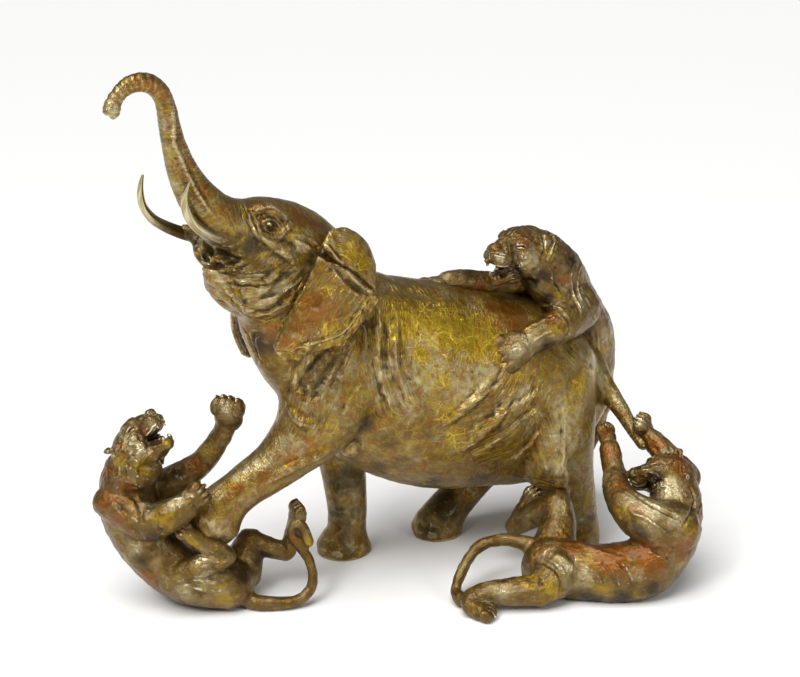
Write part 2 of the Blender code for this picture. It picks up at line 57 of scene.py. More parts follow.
# The studio. A pale seamless table, two soft lamps, a wide light above and the camera, which looks
# 20 degrees down at the group from the front, so that one millimetre at its middle is one pixel of
# the 800 x 677 picture.
MM = 0.001
PICTURE_WIDTH = 0.8
GROUP_SHIFT = Vector((-4.0 * MM, 21.5 * MM, 0))
MIDDLE = Vector((0, 0, 0.244))
LOOK_DOWN = math.radians(20)
EYE_DISTANCE = 1.8
PICTURE_MIDDLE = (400, 338.5)

look = Vector((0, math.cos(LOOK_DOWN), -math.sin(LOOK_DOWN)))
look_right = Vector((1, 0, 0))
look_up = look_right.cross(look)
EYE = MIDDLE - look * EYE_DISTANCE



def stood(name, data, place=(0, 0, 0), turn=(0, 0, 0)):
    """An object with this data, set in the scene."""
    thing = bpy.data.objects.new(name, data)
    thing.location = place
    thing.rotation_euler = turn
    bpy.context.scene.collection.objects.link(thing)
    return thing


camera_data = bpy.data.cameras.new("camera")
camera_data.sensor_width = 36
camera_data.lens = camera_data.sensor_width * EYE_DISTANCE / PICTURE_WIDTH
camera_data.clip_start = 0.05
camera_turn = (math.pi / 2 - LOOK_DOWN, 0, 0)
bpy.context.scene.camera = stood("camera", camera_data, EYE + GROUP_SHIFT, camera_turn)

LAMP_AIM = Vector((0, 0, 0.25))


def soft_lamp(name, place, width, height, power):
    lamp = bpy.data.lights.new(name, "AREA")
    lamp.shape = "RECTANGLE"
    lamp.size, lamp.size_y = width, height
    lamp.energy = power
    stood(name, lamp, place, (LAMP_AIM - Vector(place)).to_track_quat("-Z", "Y").to_euler())


soft_lamp("key_lamp", (-1.0, -1.5, 1.7), 0.6, 0.6, 16)
soft_lamp("side_lamp", (1.5, -1.4, 1.2), 0.4, 1.0, 8)

ceiling = bpy.data.lights.new("ceiling_light", "SUN")
ceiling.energy = 2.7
ceiling.angle = math.radians(50)
stood("ceiling_light", ceiling, turn=(math.radians(16), math.radians(-12), 0))

sky = bpy.data.worlds.new("studio")
sky.use_nodes = True
tree = sky.node_tree
walls = tree.nodes["Background"]
walls.inputs["Color"].default_value = (1, 1, 1, 1)
walls.inputs["Strength"].default_value = 0.22
backdrop = tree.nodes.new("ShaderNodeBackground")
backdrop.inputs["Strength"].default_value = 1.0
behind = tree.nodes.new("ShaderNodeMixShader")
camera_ray = tree.nodes.new("ShaderNodeLightPath").outputs["Is Camera Ray"]
for socket, feed in enumerate((camera_ray, walls.outputs[0], backdrop.outputs[0])):
    tree.links.new(feed, behind.inputs[socket])
tree.links.new(behind.outputs[0], tree.nodes["World Output"].inputs[0])
bpy.context.scene.world = sky
bpy.context.scene.view_settings.view_transform = "Standard"

paper = bmesh.new()
bmesh.ops.create_grid(paper, x_segments=1, y_segments=1, size=6)
paper_mesh = bpy.data.meshes.new("table")
paper.to_mesh(paper_mesh)
paper.free()
white = bpy.data.materials.new("table paper")
white.use_nodes = True
matt = white.node_tree.nodes["Principled BSDF"].inputs
matt["Base Color"].default_value = (0.93, 0.93, 0.92, 1)
matt["Roughness"].default_value = 0.9
paper_mesh.materials.append(white)
table = stood("table", paper_mesh)


# The elephant. The founder's model is clay, built up from limbs, lumps and thin flaps, and its
# hide is then worked with tools. The cast is one hollow bronze, from the trunk to the tail.
FIGURE_SIDES = 24
STEPS_PER_STATION = 5
MASS_VOXEL = 3.0 * MM
MASS_PASSES = 14
HIDE_VOXEL = 1.5 * MM
MOST_TRIANGLES = 192000
# How strongly the thinning of the mesh spares its fine parts.
FINE_SHARE = 3e-6
# Points are compared in batches of this many, to save memory.
BATCH = 8000
# A line drawn on the picture breaks where the surface under it jumps by more than this.
LONGEST_JUMP = 14 * MM


def smooth_line(stations, steps):
    """Catmull-Rom through the stations, with every number of a station carried along."""
    rows = [list(row) for row in stations]
    ends = [rows[0], *rows, rows[-1]]
    line = []
    for i in range(1, len(ends) - 2):
        before, here, there, after = ends[i - 1 : i + 3]
        for step in range(steps):
            t = step / steps
            line.append([
                0.5 * (2 * b + (c - a) * t + (2 * a - 5 * b + 4 * c - d) * t * t
                       + (3 * b - a - 3 * c + d) * t**3)
                for a, b, c, d in zip(before, here, there, after)
            ])
    line.append(rows[-1])
    return line


def ring_frame(point, along, side, half_width, half_height):
    """Turns a unit disc into the section of a limb at this point, half_width along side."""
    along = along.normalized()
    across = (side - along * side.dot(along)).normalized()
    up = along.cross(across)
    turn = Matrix((across, up, along)).transposed().to_4x4()
    size = Matrix.Diagonal((half_width, half_height, half_width, 1))
    return Matrix.Translation(point) @ turn @ size


# The run of sections of each limb laid so far, for the marks that follow the limbs.
sweeps = []
CAP_ANGLES = [math.radians(angle) for angle in (80, 60, 35)]


def limb(clay, stations, side=(0, 1, 0), steps=STEPS_PER_STATION, sides=FIGURE_SIDES):
    """A round-ended limb through stations (x, y, z, half width along side, half height)."""
    rows = smooth_line([(*s, s[3]) if len(s) == 4 else s for s in stations], steps)
    points = [Vector(row[:3]) * MM for row in rows]
    side = Vector(side)
    rings = []
    for i, row in enumerate(rows):
        along = points[min(i + 1, len(points) - 1)] - points[max(i - 1, 0)]
        rings.append((points[i], along, row[3] * MM, row[4] * MM))
    sweeps.append([
        (point, ring_frame(point, along, side, 1, 1).to_3x3(), *radii)
        for point, along, *radii in rings
    ])

    def cap(ring, way):
        point, along, width, height = ring
        out = along.normalized() * way
        radius = min(width, height)
        return [
            (point + out * radius * math.sin(a), along, width * math.cos(a), height * math.cos(a))
            for a in CAP_ANGLES
        ]

    rings = cap(rings[0], -1) + rings + cap(rings[-1], 1)[::-1]
    frames = [ring_frame(p, a, side, max(w, 1e-5), max(h, 1e-5)) for p, a, w, h in rings]
    disc = bmesh.ops.create_circle(clay, cap_ends=True, radius=1, segments=sides, matrix=frames[0])
    face = disc["verts"][0].link_faces[0]
    for before, after in zip(frames, frames[1:]):
        pushed = bmesh.ops.extrude_face_region(clay, geom=[face])["geom"]
        if before is not frames[0]:
            bmesh.ops.delete(clay, geom=[face], context="FACES_ONLY")
        face = next(g for g in pushed if isinstance(g, bmesh.types.BMFace))
        moved = [g for g in pushed if isinstance(g, bmesh.types.BMVert)]
        bmesh.ops.transform(clay, matrix=after @ before.inverted(), verts=moved)


def lump(clay, centre, radii, toward=(1, 0, 0), side=(0, 1, 0)):
    """A ball of clay with its first radius along toward and its second near side."""
    along = Vector(toward).normalized()
    across = (Vector(side) - along * Vector(side).dot(along)).normalized()
    turn = Matrix((along, across, along.cross(across))).transposed().to_4x4()
    size = Matrix.Diagonal((*[r * MM for r in radii], 1))
    place = Matrix.Translation(Vector(centre) * MM) @ turn @ size
    bmesh.ops.create_icosphere(clay, subdivisions=3, radius=1, matrix=place)


def sheet(clay, ribs, thickness, steps=8):
    """A thin flap, such as an ear, through ribs of points that run from one edge to the other."""
    rows = [smooth_line([[*p] for p in rib], steps) for rib in ribs]
    columns = [smooth_line([row[i] for row in rows], steps) for i in range(len(rows[0]))]
    width, length = len(columns), len(columns[0])
    flap = bmesh.new()
    grid = bmesh.ops.create_grid(flap, x_segments=width - 1, y_segments=length - 1, size=1)
    for vert in grid["verts"]:
        i = round((vert.co.x + 1) / 2 * (width - 1))
        j = round((vert.co.y + 1) / 2 * (length - 1))
        vert.co = Vector(columns[i][j]) * MM
    flap.normal_update()
    bmesh.ops.solidify(flap, geom=flap.faces, thickness=thickness * MM)
    bmesh.ops.recalc_face_normals(flap, faces=flap.faces)
    mesh = bpy.data.meshes.new("flap")
    flap.to_mesh(mesh)
    flap.free()
    clay.from_mesh(mesh)
    bpy.data.meshes.remove(mesh)


def worked(mesh, *modifiers, weights=None):
    """The mesh after these modifiers, each given as (kind, settings), with its points' weights in
    twenty steps as the group "coarse"."""
    body = stood("clay", mesh)
    if weights is not None:
        group = body.vertex_groups.new(name="coarse")
        steps = (np.clip(weights, 0.02, 1) * 20).round().astype(int)
        for step in np.unique(steps):
            chosen = (steps == step).nonzero()[0].tolist()
            group.add(chosen, float(max(step / 20, 0.02)), "REPLACE")
    for kind, settings in modifiers:
        modifier = body.modifiers.new(kind, kind)
        for name, value in settings.items():
            setattr(modifier, name, value)
    bpy.context.view_layer.update()
    made = body.evaluated_get(bpy.context.evaluated_depsgraph_get())
    result = bpy.data.meshes.new_from_object(made)
    bpy.data.objects.remove(body)
    bpy.data.meshes.remove(mesh)
    return result


def skin(clay, voxel, passes):
    """The one closed skin around all the clay, its seams eased by passes of smoothing."""
    mesh = bpy.data.meshes.new("clay")
    clay.to_mesh(mesh)
    clay.free()
    remesh = ("REMESH", {"mode": "VOXEL", "voxel_size": voxel})
    return worked(mesh, remesh, ("SMOOTH", {"factor": 0.5, "iterations": passes}))


BODY_SIDE = (0.39, -0.92, 0)
HEAD_SIDE = (0.707, -0.707, 0)


def clay_noise(at, size, seed=0):
    """Smooth noise from -1 to 1 at each point, with lumps of about this size."""
    cell = np.floor(at / size).astype(np.int64)
    part = at / size - cell
    ease = part * part * (3 - 2 * part)
    total = np.zeros(len(at))
    for corner in np.ndindex(2, 2, 2):
        x, y, z = (cell + corner).T
        code = (x * 73856093) ^ (y * 19349663) ^ (z * 83492791) ^ (seed * 65537 + 12345)
        code = ((code ^ (code >> 13)) * 1274126177) & 0x7FFFFFFF
        value = ((code >> 7) & 0xFFFF) / 32767.5 - 1
        total += np.prod(np.where(corner, ease, 1 - ease), axis=1) * value
    return total


def seen(x, y):
    """The line of sight through a point of the 800 x 677 picture."""
    aside, above = (x - PICTURE_MIDDLE[0]) * MM, (PICTURE_MIDDLE[1] - y) * MM
    return (look * EYE_DISTANCE + look_right * aside + look_up * above).normalized()


class Surface:
    """A figure's skin under the modelling tools: its points, and which way each one faces."""

    def __init__(self, mesh):
        self.mesh = mesh
        self.tree = BVHTree.FromPolygons(
            [v.co.copy() for v in mesh.vertices], [tuple(p.vertices) for p in mesh.polygons]
        )
        self.at = np.empty((len(mesh.vertices), 3), np.float32)
        mesh.vertices.foreach_get("co", self.at.ravel())
        self.at = self.at.astype(np.float64)
        self.settle()

    def settle(self):
        """Gives the moved points to the mesh and reads which way they now face."""
        self.mesh.vertices.foreach_set("co", self.at.astype(np.float32).ravel())
        self.mesh.update()
        facing = np.empty((len(self.at), 3), np.float32)
        self.mesh.vertex_normals.foreach_get("vector", facing.ravel())
        self.facing = facing.astype(np.float64)

    def raise_by(self, height):
        self.at += self.facing * height[:, None]

    def under(self, x, y, mirror=None):
        """The surface point and normal under a point of the picture, or of its mirror image."""
        eye, sight = EYE.copy(), seen(x, y)
        if mirror:
            through, across = Vector(mirror[0]) * MM, Vector(mirror[1]).normalized()
            eye -= across * 2 * (eye - through).dot(across)
            sight -= across * 2 * sight.dot(across)
        return self.tree.ray_cast(eye, sight)[:2]

    def trace(self, picture_line, mirror=None, steps=4):
        """Runs of surface points under a line drawn on the picture, or under its mirror image."""
        runs = [[]]
        for x, y in smooth_line(picture_line, steps):
            point, normal = self.under(x, y, mirror)
            last = runs[-1][-1][0] if runs[-1] else point
            if point is None or (point - last).length > LONGEST_JUMP:
                if runs[-1]:
                    runs.append([])
            if point is not None:
                runs[-1].append((point, normal))
        return [run for run in runs if len(run) > 1]

    def stroke(self, run, width, depth, kind="crease", ends=0.25):
        """Draws one tool mark along a run of surface points. The width and the depth are in mm."""
        line = np.array([point for point, normal in run])
        up = np.array([normal for point, normal in run])
        width, depth = width * MM, depth * MM
        reach = width * (5.5 if kind == "flap" else 2.6)
        inside = (self.at > line.min(0) - reach) & (self.at < line.max(0) + reach)
        chosen = inside.all(1).nonzero()[0]
        if not len(chosen):
            return
        at = self.at[chosen]
        best = np.full(len(at), np.inf)
        place = np.zeros(len(at))
        aside = np.zeros(len(at))
        for k in range(len(line) - 1):
            step = line[k + 1] - line[k]
            t = np.clip((at - line[k]) @ step / max(step @ step, 1e-12), 0, 1)
            gap = at - line[k] - t[:, None] * step
            gap -= (gap @ up[k])[:, None] * up[k] * 0.7
            far = np.sqrt((gap**2).sum(1)) + (self.facing[chosen] @ up[k] < 0) * 1.0
            closer = far < best
            best[closer] = far[closer]
            place[closer] = (k + t[closer]) / (len(line) - 1)
            aside[closer] = (gap @ np.cross(up[k], step) / max(np.linalg.norm(step), 1e-9))[closer]
        taper = np.clip(np.minimum(place, 1 - place) / max(ends, 1e-3), 0, 1)
        taper = taper * (2 - taper) * (1 + 0.35 * clay_noise(at, 9 * MM, 31))
        aside = aside + width * 0.5 * clay_noise(at, 6 * MM, 32)
        d = best / width * (1 + 0.25 * clay_noise(at, 5 * MM, 33))
        if kind == "crease":
            height = -np.exp(-d * d * 1.6) + 0.35 * np.exp(-((d - 1.5) ** 2) * 2.2)
        elif kind == "ridge":
            height = np.exp(-d * d * 1.4) - 0.25 * np.exp(-((d - 1.6) ** 2) * 2.0)
        else:
            s = aside / width
            lip = np.where(s > -0.3, np.exp(-((np.maximum(s, 0) / 2.6) ** 2)), 0)
            lip = lip * np.clip((s + 0.3) / 0.6, 0, 1)
            height = lip - 0.6 * np.exp(-((s + 0.75) ** 2) * 1.6)
            height = np.where(best < reach, height, 0)
        keep = best < reach
        self.at[chosen[keep]] += self.facing[chosen[keep]] * (depth * height * taper)[keep, None]

    def draw(self, picture_line, width, depth, kind="crease", mirror=None):
        for run in self.trace(picture_line):
            self.stroke(run, width, depth, kind)
        if mirror:
            for run in self.trace(picture_line, mirror):
                self.stroke(run[::-1], width, depth, kind)

    def poke(self, point, radius, depth, toward=None):
        """Presses the skin in round a point, or pulls it out if the depth is negative. In mm."""
        point = np.array(point) * MM
        away = np.sqrt(((self.at - point) ** 2).sum(1)) / (radius * MM)
        near = (away < 2.2).nonzero()[0]
        press = np.exp(-(away[near] ** 2) * 1.5) * depth * MM
        way = -self.facing[near] if toward is None else np.array(Vector(toward).normalized())
        self.at[near] += way * press[:, None]

    def flow(self, spines):
        """How far along its nearest limb, and where across it, each point lies, and which limb."""
        centres, turns, sizes, reached, numbers = [], [], [], [], []
        for number, spine in enumerate(spines):
            travelled = 0.0
            for k, (point, turn, width, height) in enumerate(spine):
                if k:
                    travelled += (point - spine[k - 1][0]).length
                centres.append(point)
                turns.append(np.array(turn))
                sizes.append((width + height) / 2)
                reached.append(travelled)
                numbers.append(number)
        centres, turns = np.array(centres), np.array(turns)
        sizes, reached = np.array(sizes), np.array(reached)
        found = np.empty((len(self.at), 3))
        which = np.empty(len(self.at), int)
        numbers = np.array(numbers)
        for start in range(0, len(self.at), BATCH):
            at = self.at[start : start + BATCH]
            gaps = (at**2).sum(1)[:, None] - 2 * at @ centres.T + (centres**2).sum(1)
            best = (gaps / (sizes + 2 * MM) ** 2).argmin(1)
            local = np.einsum("ni,nij->nj", at - centres[best], turns[best])
            found[start : start + BATCH, 0] = reached[best] + local[:, 2]
            found[start : start + BATCH, 1:] = local[:, :2]
            which[start : start + BATCH] = numbers[best]
        return found, which

    def averaged(self, rounds):
        """The points, each moved this many times to the middle of its neighbours."""
        edges = np.empty((len(self.mesh.edges), 2), np.int32)
        self.mesh.edges.foreach_get("vertices", edges.ravel())
        count = np.bincount(edges.ravel(), minlength=len(self.at))[:, None]
        eased = self.at.copy()
        for _ in range(rounds):
            total = np.stack([
                np.bincount(edges[:, 0], eased[edges[:, 1], i], len(self.at))
                + np.bincount(edges[:, 1], eased[edges[:, 0], i], len(self.at))
                for i in range(3)
            ], 1)
            eased = total / np.maximum(count, 1)
        return eased

    def hollowness(self, rounds):
        """How far each point lies below the rings of neighbours around it, in mm."""
        return ((self.averaged(rounds) - self.at) * self.facing).sum(1) / MM

    def smooth(self, spots, rounds, mirror=None):
        """Wipes the skin smooth with a thumb at (x, y, reach in mm, strength) on the picture."""
        share = self.wash(spots, mirror)[:, None]
        self.at += (self.averaged(rounds) - self.at) * share
        self.settle()

    def near(self, points, steps=4):
        """A run of the surface points nearest to a line through these points, in mm."""
        return [self.tree.find_nearest(Vector(p) * MM)[:2] for p in smooth_line(points, steps)]

    def wash(self, spots, mirror=None):
        """How much each point takes of a stain, brushed on at (x, y, reach in mm, strength)."""
        stain = np.zeros(len(self.at))
        for x, y, reach, strength in spots:
            for side in (None, mirror) if mirror else (None,):
                point = self.under(x, y, side)[0]
                if point is not None:
                    away = ((self.at - np.array(point)) ** 2).sum(1) / (reach * MM) ** 2
                    stain = np.maximum(stain, strength * np.exp(-away))
        return stain


def lie_of_folds(surface, families, mirror, first_seed=0):
    """Where each point lies along and across the family of fine folds drawn over it, in m, and how
    strongly it is folded. A family fills the space between two lines of the picture."""
    lie = np.zeros((len(surface.at), 3))
    folded = np.zeros(len(surface.at))
    across = np.array(Vector(mirror[1]).normalized())
    side = (surface.at - np.array(mirror[0]) * MM) @ across
    for far in (False, True):
        seen_at = surface.at - 2 * side[:, None] * across if far else surface.at
        from_eye = seen_at - np.array(EYE)
        depth = from_eye @ np.array(look) / EYE_DISTANCE * MM
        right, up = from_eye @ np.array(look_right) / depth, from_eye @ np.array(look_up) / depth
        picture = np.stack([PICTURE_MIDDLE[0] + right, PICTURE_MIDDLE[1] - up], 1)
        on_side = (side < 0) == far
        for number, (first, last, strength) in enumerate(families):
            first, last = (np.array(smooth_line(line, 8)) for line in (first, last))
            pick = np.linspace(0, 1, 32)
            first, last = (
                line[(pick * (len(line) - 1)).round().astype(int)] for line in (first, last)
            )
            rows = first + (last - first) * np.linspace(0, 1, 14)[:, None, None]
            ahead = np.gradient(rows, axis=1)
            ahead /= np.linalg.norm(ahead, axis=2, keepdims=True) + 1e-9
            aside = np.stack([-ahead[..., 1], ahead[..., 0]], 2)
            spacing = np.linalg.norm(np.gradient(rows, axis=1), axis=2)
            travelled = np.cumsum(spacing, 1)
            gap = np.einsum("rci,rci->rc", np.gradient(rows, axis=0), aside)
            offset = np.cumsum(gap, 0)
            box = (picture > rows.min((0, 1)) - 12) & (picture < rows.max((0, 1)) + 12)
            chosen = (on_side & box.all(1)).nonzero()[0]
            if not len(chosen):
                continue
            spots, at = rows.reshape(-1, 2), picture[chosen]
            best = np.empty(len(at), int)
            for start in range(0, len(at), BATCH):
                part = at[start : start + BATCH]
                best[start : start + BATCH] = ((spots**2).sum(1) - 2 * part @ spots.T).argmin(1)
            step = at - spots[best]
            weight = strength * np.exp(-((step**2).sum(1)) / 36)
            more = weight > folded[chosen]
            place = np.stack([
                travelled.ravel()[best] + (step * ahead.reshape(-1, 2)[best]).sum(1),
                offset.ravel()[best] + (step * aside.reshape(-1, 2)[best]).sum(1),
                np.full(len(at), 40.0 * (number + first_seed)),
            ], 1)
            lie[chosen[more]] = place[more] * MM
            folded[chosen[more]] = weight[more]
    return lie, folded


def without_bubbles(mesh):
    """The mesh as one part, without the bubbles that the clay shuts in."""
    form = bmesh.new()
    form.from_mesh(mesh)
    parts, met = [], set()
    for first in form.verts:
        if first in met:
            continue
        met.add(first)
        part = [first]
        for vert in part:
            fresh = {edge.other_vert(vert) for edge in vert.link_edges} - met
            met |= fresh
            part.extend(fresh)
        parts.append(part)
    parts.sort(key=len)
    bmesh.ops.delete(form, geom=[vert for part in parts[:-1] for vert in part], context="VERTS")
    form.to_mesh(mesh)
    form.free()
    return mesh


def thinned(mesh, most, coarse=None):
    """The mesh as at most this many triangles, the larger ones where coarse is near 1."""
    count = sum(len(p.vertices) - 2 for p in mesh.polygons)
    settings = {"ratio": min(1, most / count), "use_collapse_triangulate": True}
    if coarse is not None:
        settings |= {"vertex_group": "coarse", "vertex_group_factor": FINE_SHARE}
    return without_bubbles(worked(mesh, ("DECIMATE", settings), weights=coarse))


def finished(name, surface, marks, finish):
    """Sets a worked figure in its place, with its marks as attributes for its finish."""
    low, high = np.array(solid_box[0]), np.array(solid_box[1])
    mesh = surface.mesh
    at = np.clip(surface.at + np.array(GROUP_SHIFT), low, high)
    mesh.vertices.foreach_set("co", at.astype(np.float32).ravel())
    for mark, values in marks.items():
        vector = values.ndim == 2
        layer = mesh.attributes.new(mark, "FLOAT_VECTOR" if vector else "FLOAT", "POINT")
        values = values.astype(np.float32).ravel()
        layer.data.foreach_set("vector" if vector else "value", values)
    mesh.update()
    mesh.polygons.foreach_set("use_smooth", [True] * len(mesh.polygons))
    mesh.materials.clear()
    mesh.materials.append(finish)
    mesh.name = name
    piece = stood(name, mesh)
    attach(piece, "root")
    return piece


# The elephant's large forms: the side that each one's width lies along, and its stations.
ELEPHANT_LIMBS = {
    "torso": (
        BODY_SIDE,
        [
            (-78, -38, 212, 44, 52), (-48, -20, 228, 60, 86), (-10, -2, 208, 72, 103),
            (41, 19, 184, 76, 107), (93, 38, 175, 74, 105), (136, 54, 164, 68, 98),
            (163, 66, 163, 56, 80), (180, 73, 160, 42, 58),
        ],
    ),
    "neck": (
        (0.6, -0.8, 0),
        [
            (-104, -60, 340, 44, 46), (-106, -62, 305, 46, 54), (-88, -48, 262, 52, 60),
            (-64, -32, 232, 56, 64),
        ],
    ),
    "nape": (
        (0.6, -0.8, 0), [(-82, -40, 326, 34, 30), (-52, -24, 294, 44, 36), (0, 0, 262, 50, 40)],
    ),
    "head and trunk": (
        HEAD_SIDE,
        [
            (-74, -32, 318, 44, 34), (-91, -47, 341, 46, 42), (-110, -66, 361, 43, 43),
            (-133, -89, 378, 36, 38), (-153, -109, 392, 27, 28), (-170, -126, 410, 21, 22),
            (-187, -141, 440, 16.5, 17), (-196, -151, 470, 13, 13), (-200, -159, 497, 10.5, 10.5),
            (-202, -166, 519, 9.5, 9.5), (-207, -174, 534, 9, 9.5), (-216, -183, 542, 9, 9.5),
            (-227, -190, 542, 8.5, 9), (-237, -197, 535, 7.5, 8), (-242, -201, 527, 8, 8),
            (-243, -202, 522, 10, 10),
        ],
    ),
    "jaw": (
        HEAD_SIDE,
        [
            (-112, -67, 322, 40, 40), (-138, -93, 328, 34, 32), (-158, -113, 338, 25, 21),
            (-170, -125, 350, 15, 10), (-175, -129, 357, 9, 5),
        ],
    ),
    "near foreleg": (
        (0.15, -0.99, 0),
        [
            (-62, -52, 240, 34, 66), (-72, -66, 206, 32, 50), (-88, -72, 176, 30, 38),
            (-108, -76, 154, 27, 29), (-124, -80, 140, 24, 25), (-142, -84, 128, 22, 23),
            (-160, -88, 115, 21, 22), (-174, -91, 102, 23, 25), (-183, -94, 88, 26, 29),
        ],
    ),
    "far foreleg": (
        BODY_SIDE,
        [
            (-58, 18, 190, 34, 52), (-62, 20, 150, 28, 34), (-61, 20, 110, 24, 26),
            (-57, 20, 74, 22, 23), (-55, 20, 42, 20.5, 21), (-56, 20, 26, 21, 21),
            (-58, 18, 12, 26, 28), (-59, 18, 4, 28, 31),
        ],
    ),
    "near hind leg": (
        BODY_SIDE,
        [
            (150, 40, 206, 36, 56), (154, 24, 160, 36, 52), (160, 16, 122, 33, 44),
            (169, 18, 88, 28, 35), (180, 24, 58, 24, 27), (187, 30, 34, 22, 22),
            (187, 32, 16, 25, 26), (184, 31, 5, 27, 29),
        ],
    ),
    "far hind leg": (
        BODY_SIDE,
        [
            (146, 98, 190, 34, 52), (134, 104, 146, 32, 46), (112, 100, 106, 29, 36),
            (86, 88, 66, 24, 27), (64, 76, 38, 21, 22), (48, 66, 20, 23, 24), (40, 60, 6, 26, 30),
        ],
    ),
}


def elephant_trim(clay):
    """The lips, the far cheek, the tongue, the tail, the ears and what surrounds the eye."""
    near_lip = [
        (-122, -98, 376, 14), (-134, -108, 380, 12), (-146, -121, 385, 10), (-158, -132, 389, 8),
        (-164, -137, 392, 6.8),
    ]
    limb(clay, near_lip, (0, 0, 1))
    far_lip = [
        (-166, -66, 368, 13), (-182, -70, 371, 11), (-194, -75, 376, 9), (-204, -80, 379, 7),
    ]
    limb(clay, far_lip, (0, 0, 1))
    far_cheek = [
        (-176, -72, 368, 11), (-186, -86, 368, 9), (-184, -93, 361, 7.5), (-176, -98, 354, 7.5),
    ]
    limb(clay, far_cheek, (0, 0, 1))
    tongue = [
        (-128, -84, 348, 12, 9), (-146, -100, 354, 12, 8), (-160, -112, 360, 10, 6),
        (-170, -121, 366, 7, 4),
    ]
    limb(clay, tongue, HEAD_SIDE)
    lump(clay, (-177, -86, 362), (11, 9, 9))
    lump(clay, (-50, -14, 142), (26, 24, 18))
    lump(clay, (-50, -36, 143), (16, 14, 12))
    lump(clay, (-49, -60, 154), (11, 13, 12))
    tail = [
        (172, 74, 222, 13), (188, 74, 206, 13), (202, 68, 189, 12), (216, 58, 168, 10.5),
        (230, 44, 149, 9), (242, 30, 132, 7.5), (251, 18, 121, 6.5),
    ]
    limb(clay, tail)
    near_ear = [
        [(-76, -112, 367), (-51, -106, 352), (-34, -98, 334), (-21, -88, 317)],
        [(-82, -112, 352), (-62, -112, 338), (-46, -104, 322), (-29, -90, 306)],
        [(-90, -112, 334), (-74, -116, 318), (-58, -108, 302), (-44, -96, 288)],
        [(-99, -112, 316), (-86, -118, 302), (-74, -112, 288), (-62, -102, 277)],
        [(-108, -112, 298), (-100, -118, 288), (-92, -114, 278), (-84, -108, 271)],
        [(-117, -112, 278), (-115, -115, 273), (-112, -115, 269), (-109, -112, 265)],
    ]
    sheet(clay, near_ear, 5)
    ear_fold = [
        [(-72, -104, 366), (-54, -100, 354), (-38, -92, 340), (-22, -84, 322)],
        [(-66, -90, 383), (-50, -84, 382), (-33, -78, 368), (-22, -76, 341)],
        [(-60, -72, 378), (-48, -66, 376), (-31, -62, 362), (-22, -64, 341)],
    ]
    sheet(clay, ear_fold, 9)
    brow = [
        (-138, -117, 406, 5), (-130, -111, 410, 5.5), (-118, -104, 408, 5.5),
        (-107, -102, 400, 4.5),
    ]
    limb(clay, brow)
    pouch = [
        (-132, -125, 392, 4.5), (-122, -122, 386, 5), (-111, -115, 386, 4.5), (-104, -108, 392, 4),
    ]
    limb(clay, pouch)
    lump(clay, (-121, -115, 397), (6, 5, 5))
    far_ear = [
        [(-128, -26, 366), (-132, -6, 352), (-128, 12, 334), (-122, 28, 317)],
        [(-136, -30, 346), (-142, -10, 332), (-136, 8, 316), (-126, 20, 300)],
        [(-148, -40, 320), (-154, -20, 306), (-148, -4, 292), (-138, 8, 280)],
        [(-160, -46, 296), (-164, -32, 284), (-158, -18, 272), (-150, -6, 262)],
        [(-164, -44, 270), (-164, -34, 262), (-158, -26, 254), (-152, -18, 248)],
        [(-156, -36, 240), (-155, -32, 237), (-153, -28, 234), (-150, -25, 232)],
    ]
    sheet(clay, far_ear, 5)


# Of the limbs that elephant_trim lays, the lips, the cheek and the tongue come before the tail.
TRIM_LIMBS_BEFORE_TAIL = 4


def toenails(clay, toe_middle, forward, radius):
    """Four nails round the front of a foot of this radius."""
    ahead = Vector((*forward, 0)).normalized()
    middle = Vector(toe_middle)
    for step in (-1.5, -0.5, 0.5, 1.5):
        out = Matrix.Rotation(step * 0.62, 3, "Z") @ ahead
        lump(clay, middle + out * radius, (1.3, 6.8, 5), out, out.cross(Vector((0, 0, 1))))


ROLL_EYE = Vector((0, -1.691, 0.860))


def drape(clay, hide, line, thickness, sunk):
    """Lays a roll of clay on the hide, along a line of (right, up) points seen from ROLL_EYE."""
    up = look_right.cross(MIDDLE - ROLL_EYE).normalized()
    roll = []
    for across, high, swell in smooth_line(line, 3):
        sight = MIDDLE + look_right * (across * MM) + up * (high * MM) - ROLL_EYE
        hit, normal = hide.ray_cast(ROLL_EYE, sight.normalized())[:2]
        if hit is not None:
            roll.append((*((hit - normal * (sunk * MM)) / MM), thickness * swell))
    if len(roll) > 2:
        limb(clay, roll, (0.2, -0.3, 0.9), steps=1, sides=10)


